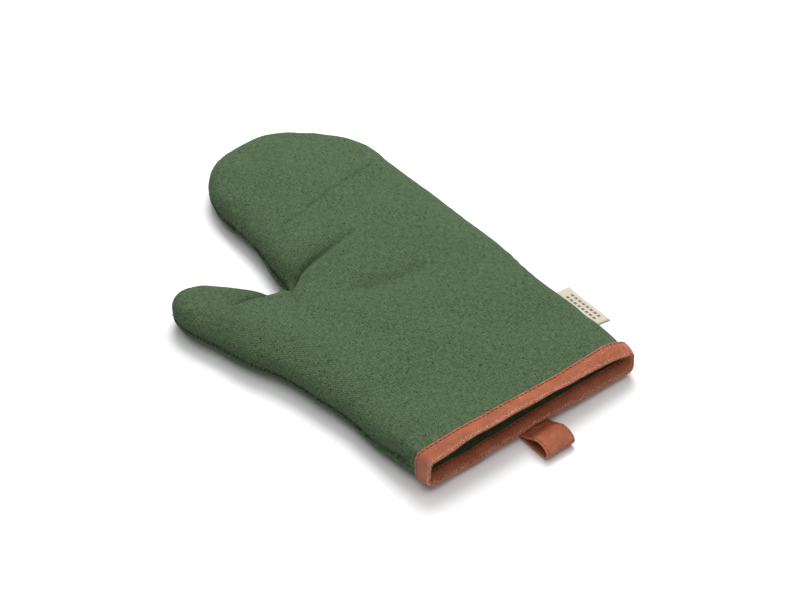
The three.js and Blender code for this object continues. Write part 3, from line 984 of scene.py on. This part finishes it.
def add_binding(material, thread):
    """The strip folded over the raw edges all round the mouth, and its stitches."""
    facing, hidden = binding_section()
    around = arc_lengths(mouth_line(BINDING_WIDTH / 2, 0))
    rings = []
    for depth, y in facing:
        base = mouth_line(y, depth)
        deeper = mouth_line(y, BINDING_DEPTH / 2)
        outward = base - deeper
        outward /= np.maximum(np.linalg.norm(outward, axis=1), 1e-6)[:, None]
        forward = np.array([0, -1.0, 0])
        fold = 1 - smoothstep(y, 0.5, 3.2)
        direction = mix(outward, forward, float(fold) * (1 - abs(depth / BINDING_DEPTH * 2 - 1)))
        direction /= np.linalg.norm(direction, axis=1)[:, None]
        rings.append(base + direction * leather_relief(around, y, depth)[:, None])
    rings += [mouth_line(y, depth) for depth, y in hidden]
    points = np.stack(rings, 0)
    count = len(MOUTH)
    faces = grid_faces(len(rings), count, round_rows=True, round_columns=True)
    uvs = binding_uvs(len(rings), count, around, facing, hidden)
    piece = make_piece("binding_leather", points.reshape(-1, 3), faces, material, uvs)
    from_fold = np.array([y for _, y in facing] + [BINDING_WIDTH] * len(hidden))
    # pale patches along the fold: leather worn by rubbing, and painted glints
    mark(piece, "wear_and_glints", np.repeat(LEAST_WEAR + FOLD_GLINTS_AND_WEAR * bump(from_fold - 1.0, 0.8), count))
    face_outward(piece)
    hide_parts("cuff_binding")
    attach(piece, "hand")
    add_binding_stitches(points, facing, thread)


def binding_uvs(rows, count, around, facing, hidden):
    """Leather coordinates along and across the strip, in metres."""
    section = np.array([*facing, *hidden])
    across = arc_lengths(section)
    total = around[-1] + (around[1] - around[0])
    uvs = []
    for i in range(rows):
        for j in range(count):
            far = total if j + 1 == count else around[j + 1]
            top = across[i + 1] if i + 1 < rows else across[-1] + 1
            uvs += [(around[j], across[i]), (far, across[i]), (far, top), (around[j], top)]
    return np.array(uvs) * MM


BINDING_STITCH = {"pitch": 3.1, "length": 2.2, "slant": 0.35, "radius": 0.33}


def add_binding_stitches(points, facing, thread):
    """The two rows of stitches that hold the binding, outside and inside the mouth."""
    legs = {"outer": (0, STITCH_LINE), "inner": (BINDING_DEPTH, INNER_STITCH_LINE)}
    for leg, (depth, stitched) in legs.items():
        on_leg = [i for i, (d, _) in enumerate(facing) if abs(d - depth) < 0.01]
        ring = min(on_leg, key=lambda i: abs(facing[i][1] - stitched))
        line = np.concatenate([points[ring], points[ring][:1]])
        deeper = mouth_line(facing[ring][1], BINDING_DEPTH / 2)
        outward = line - np.concatenate([deeper, deeper[:1]])
        outward /= np.linalg.norm(outward, axis=1)[:, None]
        paths = stitches_along(line, outward, BINDING_STITCH)
        piece = thread_run(f"binding_stitches_{leg}", paths, BINDING_STITCH["radius"], thread)
        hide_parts(f"binding_stitching_{leg}")
        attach(piece, "hand")


# ---- The hanging loop ----

LOWER_PLY = 1.35                    # heights of the strap's two plies under the lip
UPPER_PLY = 3.55
LOOP_ROUTE = (
    (6.5, UPPER_PLY), (2, UPPER_PLY), (-2.3, 4.4), (-6, 6.5), (-10, 8.6), (-14.5, 9.6),
    (-18.8, 8.2), (-21.2, 5.2), (-19.6, 2.2), (-15, LOWER_PLY), (-8, LOWER_PLY),
    (-2.3, LOWER_PLY), (2, LOWER_PLY), (6.5, LOWER_PLY),
)
LOOP_STEPS = 7
EDGE_LINE = 1.5                     # the stitched lines lie this far in from the strap's edges
EDGE_LINE_DIP, EDGE_LINE_HALF = 0.28, 0.45
LEAN_HEIGHT, LEAN_LENGTH = 0.10, 6  # slight ripples over the strap
LOOP_STITCH = {"pitch": 2.6, "length": 1.9, "slant": 0.0, "radius": 0.18}
LOOP_FREE_Y = -1.5                  # the strap's stitches show only in front of here


def strap_section():
    """The strap's section as (across, out) from its middle line, with rounded edges."""
    half, thick = LOOP_WIDTH / 2, LOOP_THICKNESS / 2
    turn = np.linspace(math.pi / 2, -math.pi / 2, 7)
    edge = [(half - thick + thick * math.cos(a), thick * math.sin(a)) for a in turn]
    flat = np.linspace(-half + thick, half - thick, 61)
    dip = EDGE_LINE_DIP * bump(np.abs(flat) - (half - EDGE_LINE), EDGE_LINE_HALF)
    over = [(x, thick - d) for x, d in zip(flat, dip)]
    under = [(x, d - thick) for x, d in zip(flat[::-1], dip[::-1])]
    return np.array(over + edge + under + [(-x, z) for x, z in edge[::-1]])


def loop_line():
    """The strap's middle line and its outward directions, in the plane across the cuff."""
    route = catmull_rom([(LOOP_CENTRE, y, z) for y, z in LOOP_ROUTE], LOOP_STEPS)
    along = tangents(route)
    outward = np.column_stack([np.zeros(len(route)), -along[:, 2], along[:, 1]])
    return route, -outward


def add_loop(material, thread):
    """The strap folded back on itself under the lower lip, and its stitches."""
    route, outward = loop_line()
    section = strap_section()
    along = arc_lengths(route)
    rows = []
    for i, (at, out) in enumerate(zip(route, outward)):
        places = np.column_stack([section[:, 0], np.full(len(section), along[i])])
        lean = LEAN_HEIGHT * ripple(places, LEAN_LENGTH, 31)
        ring = at + out * (section[:, 1] + lean)[:, None]
        ring[:, 0] += section[:, 0]
        rows.append(ring)
    points = np.concatenate(rows)
    count = len(section)
    faces = grid_faces(len(rows), count, round_columns=True)
    faces.append(tuple(range(count))[::-1])
    last = (len(rows) - 1) * count
    faces.append(tuple(range(last, last + count)))
    piece = make_piece("hanging_loop_leather", points, faces, material)
    from_edge = LOOP_WIDTH / 2 - np.abs(section[:, 0])
    mark(piece, "wear_and_glints", np.tile(LEAST_WEAR + STRAP_WEAR * bump(from_edge, 0.8), len(rows)))
    face_outward(piece)
    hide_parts("hanging_loop_strap", "hanging_loop_upper_end", "hanging_loop_lower_end")
    blend_loop(piece)
    add_loop_stitches(route, outward, thread)


def add_loop_stitches(route, outward, thread):
    """A row of stitches along each edge of the strap, on its outer face."""
    free = route[:, 1] < LOOP_FREE_Y
    for name, turn in (("left", -1), ("right", 1)):
        shift = np.array([turn * (LOOP_WIDTH / 2 - EDGE_LINE), 0, 0])
        raised = LOOP_THICKNESS / 2 - EDGE_LINE_DIP + 0.08
        line = route[free] + shift + outward[free] * raised
        paths = stitches_along(line, outward[free], LOOP_STITCH)
        stitches = thread_run(f"loop_stitches_{name}", paths, LOOP_STITCH["radius"], thread)
        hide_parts(f"loop_stitching_{name}")
        blend_loop(stitches)


def blend_loop(piece):
    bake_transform(piece)


# ---- The side label ----

LABEL_ROWS = 20
LABEL_ROOT = -2.0                   # the tape starts this far inside the seam
LABEL_SLIT = 0.02                   # half the gap between the folded tape's two plies
LABEL_RISE, LABEL_TUCK = 0.6, 1.2   # how far it lies above the seam's height and inside its edge
LABEL_EDGE = ((0, 79.5), (CUFF_LENGTH, 79.2), (105, 79.0))      # the seam beside it, as (y, x)
LABEL_CURL, LABEL_WAVE = 0.9, 0.25  # how far its fold curls down, and waves along its length


def label_profile(thick):
    """Half of the folded tape's section, from the seam out to its fold, as (out, height)."""
    gap = LABEL["ply"] / 2 + thick
    out = np.linspace(LABEL_ROOT, LABEL["reach"] - gap, 12)
    turn = np.linspace(1.3, 0, 5)
    fold = [(LABEL["reach"] - gap + gap * math.cos(a), gap * math.sin(a)) for a in turn]
    return [(x, gap) for x in out] + fold


def label_section():
    """The folded tape's closed section: round its outer faces, then back round its inner ones."""
    outer, inner = label_profile(LABEL["ply"]), label_profile(LABEL_SLIT)
    mirror = [(x, -z) for x, z in outer[-2::-1]]
    inner_mirror = [(x, -z) for x, z in inner[-2::-1]]
    return np.array(outer + mirror + inner_mirror[::-1] + inner[::-1])


def label_row(section, share):
    """The tape's section at a share of its length, drooping, curling and waving a little."""
    y = LABEL["start"] + share * LABEL["length"]
    out = section[:, 0]
    droop = math.radians(LABEL["droop"])
    curl = LABEL_CURL * (out / LABEL["reach"]) ** 2 * (1 - 0.6 * share)
    wave = LABEL_WAVE * math.sin(share * 7.0) * out / LABEL["reach"]
    edge = np.interp(y, *zip(*LABEL_EDGE)) - LABEL_TUCK
    height = BODY["seam"] + LABEL_RISE + section[:, 1] - np.sin(droop) * out - curl + wave
    return np.column_stack([edge + np.cos(droop) * out, np.full(len(section), y), height])


def end_faces(first, count):
    """Quads that close one end of the folded tape, between its outer and its inner faces."""
    last = first + count - 1
    return [(first + j, first + j + 1, last - j - 1, last - j) for j in range(count // 2 - 1)]


def add_label(material):
    """The folded tape caught in the side seam."""
    section = label_section()
    count = len(section)
    shares = [i / LABEL_ROWS for i in range(LABEL_ROWS + 1)]
    points = np.concatenate([label_row(section, share) for share in shares])
    faces = grid_faces(len(shares), count, round_columns=True)
    faces += end_faces(0, count) + end_faces(LABEL_ROWS * count, count)
    uvs = [(section[i % count, 0], points[i, 1]) for face in faces for i in face]
    piece = make_piece("side_label_tape", points, faces, material, np.array(uvs) * MM)
    face_outward(piece)
    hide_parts("side_label")
    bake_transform(piece)


# ---- Materials ----

def new_material(name):
    material = bpy.data.materials.new(name)
    material.use_nodes = True
    tree = material.node_tree
    return material, tree, tree.nodes["Principled BSDF"]


def set_inputs(tree, node, values):
    """Sets a node's inputs to plain values or to other nodes' outputs."""
    for key, value in values.items():
        if isinstance(value, bpy.types.NodeSocket):
            tree.links.new(value, node.inputs[key])
        else:
            node.inputs[key].default_value = value


def add_node(tree, kind, inputs=None, **settings):
    """A node with its settings and its inputs."""
    node = tree.nodes.new(kind)
    for key, value in settings.items():
        setattr(node, key, value)
    set_inputs(tree, node, inputs or {})
    return node


def math_node(tree, operation, a, b=0.0):
    return add_node(tree, "ShaderNodeMath", {0: a, 1: b}, operation=operation).outputs[0]


def times(tree, a, b):
    return math_node(tree, "MULTIPLY", a, b)


def weighted(tree, a, a_share, b, b_share):
    """Two values added together, each in its own share."""
    return math_node(tree, "ADD", times(tree, a, a_share), times(tree, b, b_share))


def one_minus(tree, value):
    return math_node(tree, "SUBTRACT", 1.0, value)


def weave_uv(tree):
    return add_node(tree, "ShaderNodeUVMap", uv_map="weave").outputs[0]


def object_place(tree):
    return add_node(tree, "ShaderNodeTexCoord").outputs["Object"]


def marked(tree, name):
    """A value kept with the mesh's points by mark()."""
    return add_node(tree, "ShaderNodeAttribute", attribute_name=name).outputs["Fac"]


def scaled(tree, vector, scale):
    return add_node(tree, "ShaderNodeMapping", {"Vector": vector, "Scale": scale}).outputs[0]


def noise_node(tree, vector, scale, detail=2.0):
    inputs = {"Vector": vector, "Scale": scale, "Detail": detail}
    return add_node(tree, "ShaderNodeTexNoise", inputs).outputs["Fac"]


def streaks(tree, vector, first_scale, second_scale):
    """Noise drawn out along whichever of the vector's directions has the smaller scale."""
    return noise_node(tree, scaled(tree, vector, (first_scale, second_scale, 1)), 1.0)


def ramp(tree, factor, low, high):
    """0 below low and 1 above high."""
    inputs = {"Value": factor, "From Min": low, "From Max": high}
    return add_node(tree, "ShaderNodeMapRange", inputs, interpolation_type="SMOOTHSTEP").outputs[0]


def between(tree, factor, low, high):
    """low where the factor is 0 and high where it is 1."""
    inputs = {"Value": factor, "To Min": low, "To Max": high}
    return add_node(tree, "ShaderNodeMapRange", inputs).outputs[0]


def mix_colour(tree, factor, a, b):
    return add_node(tree, "ShaderNodeMix", {0: factor, 6: a, 7: b}, data_type="RGBA").outputs[2]


def bump_node(tree, height, distance, strength=1.0):
    inputs = {"Height": height, "Distance": distance, "Strength": strength}
    return add_node(tree, "ShaderNodeBump", inputs).outputs[0]


def weave_height(tree, uv, threads):
    """A plain weave's over and under, from -1 to 1, with so many threads to the metre."""
    parts = add_node(tree, "ShaderNodeSeparateXYZ", {0: scaled(tree, uv, (threads,) * 3)})
    warp, weft = (math_node(tree, "SINE", times(tree, parts.outputs[i], math.pi)) for i in (0, 1))
    return times(tree, warp, weft)


CANVAS_THREADS, LINING_THREADS, LABEL_THREADS = 1080, 2400, 2600        # to the metre
YARN_LONG, YARN_THIN = 260, 1300    # how often a thread's tone changes along it and across it
# The colour of the painted shade in the gaps between the threads, in the creases and beside the seam.
CANVAS_PAINTED_SHADE = (0.012, 0.024, 0.009, 1)
CANVAS_DARK = (0.030, 0.056, 0.024, 1)
CANVAS_MID = (0.080, 0.134, 0.066, 1)
CANVAS_LIGHT = (0.175, 0.265, 0.144, 1)
CANVAS_FADED = (0.18, 0.24, 0.15, 1)
DARK_FLECK = (0.012, 0.020, 0.010, 1)
PALE_FLECK = (0.24, 0.30, 0.20, 1)
GAP_SHADE_STRENGTH, CREASE_SHADE_STRENGTH = 0.88, 0.78      # how dark the painted shade makes the weave's gaps, and the creases and the seam's sides
CANVAS_RELIEF, FINE_RELIEF = 0.00028, 0.00008   # in metres


def canvas_tone(tree, uv):
    """How light each thread is, from 0 to 1."""
    warp = streaks(tree, uv, YARN_THIN, YARN_LONG)
    weft = streaks(tree, uv, YARN_LONG, YARN_THIN)
    grain = noise_node(tree, uv, 1500.0, 1.0)
    return weighted(tree, weighted(tree, warp, 0.5, weft, 0.5), 0.62, grain, 0.38)


def canvas_colour(tree, uv, tone):
    """The heathered colour of the threads, with its flecks."""
    colour = mix_colour(tree, ramp(tree, tone, 0.33, 0.67), CANVAS_DARK, CANVAS_LIGHT)
    colour = mix_colour(tree, 0.12, colour, CANVAS_MID)
    cloudy = ramp(tree, noise_node(tree, uv, 22.0, 3.0), 0.3, 0.7)
    colour = mix_colour(tree, cloudy, colour, mix_colour(tree, 0.10, colour, CANVAS_FADED))
    colour = flecked(tree, uv, colour, 300.0, 0.14, DARK_FLECK)
    return flecked(tree, scaled(tree, uv, (0.9, 1.1, 1)), colour, 210.0, 0.07, PALE_FLECK)


def canvas_material():
    """Heathered green cotton canvas in a plain weave, with painted shade between its threads, in its
    creases and beside its seam.
    """
    material, tree, shader = new_material("canvas_weave")
    uv = weave_uv(tree)
    crossing = weave_height(tree, uv, CANVAS_THREADS)
    tone = canvas_tone(tree, uv)
    # painted shade in the gaps between the threads
    open_weave = math_node(tree, "POWER", math_node(tree, "ABSOLUTE", crossing), 0.6)
    gaps = times(tree, one_minus(tree, open_weave), GAP_SHADE_STRENGTH)
    colour = mix_colour(tree, gaps, canvas_colour(tree, uv, tone), CANVAS_PAINTED_SHADE)
    # painted shade in the creases and beside the seam, as marked on the mesh
    creased = times(tree, marked(tree, "shade"), CREASE_SHADE_STRENGTH)
    set_inputs(tree, shader, {
        "Base Color": mix_colour(tree, creased, colour, CANVAS_PAINTED_SHADE),
        "Normal": bump_node(tree, weighted(tree, crossing, 0.4, tone, 1.0), CANVAS_RELIEF),
        "Roughness": between(tree, tone, 0.82, 0.96),
        "Sheen Weight": 0.02,
        "Sheen Roughness": 0.55,
        "Specular IOR Level": 0.12,
    })
    return material


def flecked(tree, uv, colour, cells, size, fleck):
    """Scattered specks of another colour, one in most cells."""
    cell = add_node(tree, "ShaderNodeTexVoronoi", {"Vector": uv, "Scale": cells}, feature="F1")
    edge = times(tree, noise_node(tree, uv, cells * 0.8, 1.0), size * 2)
    inside = math_node(tree, "LESS_THAN", cell.outputs["Distance"], edge)
    return mix_colour(tree, times(tree, inside, 0.75), colour, fleck)


LEATHER_DARK = (0.220, 0.042, 0.016, 1)
LEATHER_MID = (0.640, 0.180, 0.076, 1)
# the pale of leather worn by rubbing, and of the painted glints along the binding's fold
LEATHER_PALE = (0.900, 0.620, 0.480, 1)
PORES, GLINT_AND_WEAR_PATCHES = 1150.0, 1400.0            # to the metre
LEATHER_RELIEF, BATTING_RELIEF = 0.0006, 0.0004


def leather_grain(tree, place):
    """The leather's grain: 0 in the lines between its pores and 1 on them."""
    inputs = {"Vector": place, "Scale": PORES}
    pores = add_node(tree, "ShaderNodeTexVoronoi", inputs, feature="DISTANCE_TO_EDGE")
    return ramp(tree, pores.outputs["Distance"], 0.0, 0.22)


def leather_material():
    """Smooth-grained brown leather that pales in patches where it is creased and worn by rubbing; along
    the binding's fold the pale patches are partly painted glints.
    """
    material, tree, shader = new_material("binding_grain")
    place = object_place(tree)
    grain = leather_grain(tree, place)
    patch = noise_node(tree, place, 120.0, 4.0)
    colour = mix_colour(tree, ramp(tree, patch, 0.3, 0.72), LEATHER_DARK, LEATHER_MID)
    colour = mix_colour(tree, 0.65, colour, LEATHER_MID)
    # pale patches where the mesh asks for them: worn leather, and along the binding's fold painted
    # glints as well
    patchy = ramp(tree, noise_node(tree, place, GLINT_AND_WEAR_PATCHES, 3.0), 0.50, 0.60)
    glints_and_rubbing = times(tree, times(tree, patchy, marked(tree, "wear_and_glints")), 0.8)
    colour = mix_colour(tree, glints_and_rubbing, colour, LEATHER_PALE)
    crackle = times(tree, one_minus(tree, grain), 0.30)
    height = weighted(tree, grain, 0.7, noise_node(tree, place, 2600.0, 3.0), 0.4)
    set_inputs(tree, shader, {
        "Base Color": mix_colour(tree, crackle, colour, LEATHER_DARK),
        "Normal": bump_node(tree, height, LEATHER_RELIEF),
        "Roughness": between(tree, patch, 0.16, 0.32),
        "Specular IOR Level": 0.5,
    })
    return material


BROWN_THREAD = ((0.15, 0.030, 0.018, 1), (0.05, 0.012, 0.008, 1))       # its light and its dark
SEAM_THREAD = ((0.16, 0.12, 0.07, 1), (0.06, 0.05, 0.03, 1))


def thread_material(name, colours):
    """Twisted thread."""
    material, tree, shader = new_material(name)
    light, dark = colours
    wave_inputs = {"Vector": object_place(tree), "Scale": 900.0, "Distortion": 1.5}
    wave = add_node(tree, "ShaderNodeTexWave", wave_inputs, bands_direction="DIAGONAL")
    twist = wave.outputs["Fac"]
    set_inputs(tree, shader, {
        "Base Color": mix_colour(tree, twist, dark, light),
        "Normal": bump_node(tree, twist, FINE_RELIEF, 0.6),
        "Roughness": 0.62,
        "Sheen Weight": 0.1,
    })
    return material


LINING_DARK, LINING_LIGHT = (0.034, 0.080, 0.030, 1), (0.066, 0.140, 0.058, 1)


def lining_material():
    """Fine dark green cotton."""
    material, tree, shader = new_material("lining_weave")
    uv = weave_uv(tree)
    slub = ramp(tree, streaks(tree, uv, 300, LINING_THREADS), 0.35, 0.7)
    set_inputs(tree, shader, {
        "Base Color": mix_colour(tree, slub, LINING_DARK, LINING_LIGHT),
        "Normal": bump_node(tree, weave_height(tree, uv, LINING_THREADS), FINE_RELIEF, 0.6),
        "Roughness": 0.92,
        "Sheen Weight": 0.1,
    })
    return material


BATTING_DARK, BATTING_LIGHT = (0.55, 0.52, 0.44, 1), (0.80, 0.77, 0.70, 1)


def batting_material():
    """Off-white needled wadding."""
    material, tree, shader = new_material("batting_felt")
    fibres = noise_node(tree, object_place(tree), 900.0, 6.0)
    set_inputs(tree, shader, {
        "Base Color": mix_colour(tree, fibres, BATTING_DARK, BATTING_LIGHT),
        "Normal": bump_node(tree, fibres, BATTING_RELIEF, 0.8),
        "Roughness": 1.0,
    })
    return material


LABEL_DARK, LABEL_LIGHT = (0.46, 0.42, 0.335, 1), (0.62, 0.57, 0.465, 1)
LABEL_PRINT = (0.09, 0.08, 0.07, 1)
DASH_ROWS = (5.4, 9.2)              # how far out from the seam the two printed rows lie
DASH_PITCH, DASH_SHARE, DASH_HALF = 3.4, 0.66, 0.95
DASH_MARGIN = 5                     # the rows stop this far from the tape's ends


def printed_dashes(tree, uv):
    """1 inside the label's plain printed dashes and 0 outside them."""
    parts = add_node(tree, "ShaderNodeSeparateXYZ", {0: uv})
    out, along = parts.outputs[0], parts.outputs[1]
    first = (LABEL["start"] + DASH_MARGIN) * MM
    last = (LABEL["start"] + LABEL["length"] - DASH_MARGIN) * MM
    phase = math_node(tree, "FRACT", math_node(tree, "DIVIDE", along, DASH_PITCH * MM))
    dash = math_node(tree, "LESS_THAN", phase, DASH_SHARE)
    after = math_node(tree, "GREATER_THAN", along, first)
    before = math_node(tree, "LESS_THAN", along, last)
    rows = []
    for place in DASH_ROWS:
        offset = math_node(tree, "ABSOLUTE", math_node(tree, "SUBTRACT", out, place * MM))
        rows.append(math_node(tree, "LESS_THAN", offset, DASH_HALF * MM))
    on_a_row = math_node(tree, "MAXIMUM", *rows)
    return times(tree, times(tree, on_a_row, dash), times(tree, after, before))


def label_material():
    """Cream woven tape with two rows of plain printed dashes."""
    material, tree, shader = new_material("label_weave")
    uv = weave_uv(tree)
    tape = mix_colour(tree, streaks(tree, uv, LABEL_THREADS, 500), LABEL_DARK, LABEL_LIGHT)
    printed = times(tree, printed_dashes(tree, uv), 0.85)
    set_inputs(tree, shader, {
        "Base Color": mix_colour(tree, printed, tape, LABEL_PRINT),
        "Normal": bump_node(tree, weave_height(tree, uv, LABEL_THREADS), FINE_RELIEF, 0.5),
        "Roughness": 0.85,
    })
    return material


def floor_material():
    """A matt floor a little off white."""
    material, tree, shader = new_material("pale_floor")
    floor_grey = (0.90, 0.90, 0.90, 1)
    set_inputs(tree, shader, {"Base Color": floor_grey, "Roughness": 0.9, "Specular IOR Level": 0.1})
    return material


# ---- The studio ----

CAMERA = {"azimuth": -38, "elevation": 42, "distance": 1152.64, "target": (1.52, 127.46, 12), "lens": 85}
SENSOR_WIDTH = 36
WORLD_STRENGTH = 0.15
FLOOR_SIZE = 12
# Disk lights aimed at the row's origin: name, place in metres, diameter in metres and watts.
LIGHTS = (
    ("overhead", (0, -0.15, 1.6), 2.2, 21),
    ("key", (0.50, 0.55, 1.25), 0.9, 17.5),
    ("fill", (-0.6, -1.4, 0.9), 0.9, 3),
)


def add_camera():
    """The camera, which looks down across the cuff and the thumb from a little to their side."""
    azimuth, elevation = math.radians(CAMERA["azimuth"]), math.radians(CAMERA["elevation"])
    level = math.cos(elevation)
    back = np.array([math.sin(azimuth) * level, -math.cos(azimuth) * level, math.sin(elevation)])
    data = bpy.data.cameras.new("camera")
    data.lens = CAMERA["lens"]
    data.sensor_width = SENSOR_WIDTH
    camera = bpy.data.objects.new("camera", data)
    camera.location = row(np.array(CAMERA["target"]) + back * CAMERA["distance"])
    camera.rotation_euler = Vector(-back).to_track_quat("-Z", "Y").to_euler()
    bpy.context.scene.collection.objects.link(camera)
    bpy.context.scene.camera = camera


def add_area_light(name, place, size, power):
    data = bpy.data.lights.new(name, "AREA")
    data.shape = "DISK"
    data.size = size
    data.energy = power
    light = bpy.data.objects.new(name, data)
    light.location = place
    light.rotation_euler = (-Vector(place)).to_track_quat("-Z", "Y").to_euler()
    bpy.context.scene.collection.objects.link(light)


def add_world():
    """Even white light from all round."""
    world = bpy.data.worlds.new("studio")
    world.use_nodes = True
    background = world.node_tree.nodes["Background"]
    background.inputs["Color"].default_value = (1.0, 1.0, 1.0, 1)
    background.inputs["Strength"].default_value = WORLD_STRENGTH
    bpy.context.scene.world = world


def add_studio():
    """A pale floor under a wide light overhead, a key light behind right and a weak fill in front."""
    bpy.context.scene.view_settings.view_transform = "Standard"
    add_world()
    for light in LIGHTS:
        add_area_light(*light)
    bpy.ops.mesh.primitive_grid_add(x_subdivisions=2, y_subdivisions=2, size=FLOOR_SIZE)
    floor = bpy.context.object
    floor.name = "studio_floor"
    floor.data.materials.append(floor_material())


# ---- Making it all ----

add_camera()
add_studio()

canvas = canvas_material()
lining = lining_material()
batting = batting_material()
leather = leather_material()
brown_thread = thread_material("brown_thread_twist", BROWN_THREAD)
seam_thread = thread_material("seam_thread_twist", SEAM_THREAD)
label = label_material()

shell = coarse_shell()
swell(shell)
fine = subdivided(shell, 2)
middle = subdivided(shell, 1)
bpy.data.objects.remove(shell)
for surface in (fine, middle):
    refresh_normals(surface)
    sculpt(surface)

add_layer(fine, "outer", canvas)
add_layer(middle, "lining", lining)
add_layer(middle, "batting", batting)
add_seam_threads(fine, seam_thread)
add_binding(leather, brown_thread)
add_loop(leather, brown_thread)
add_label(label)
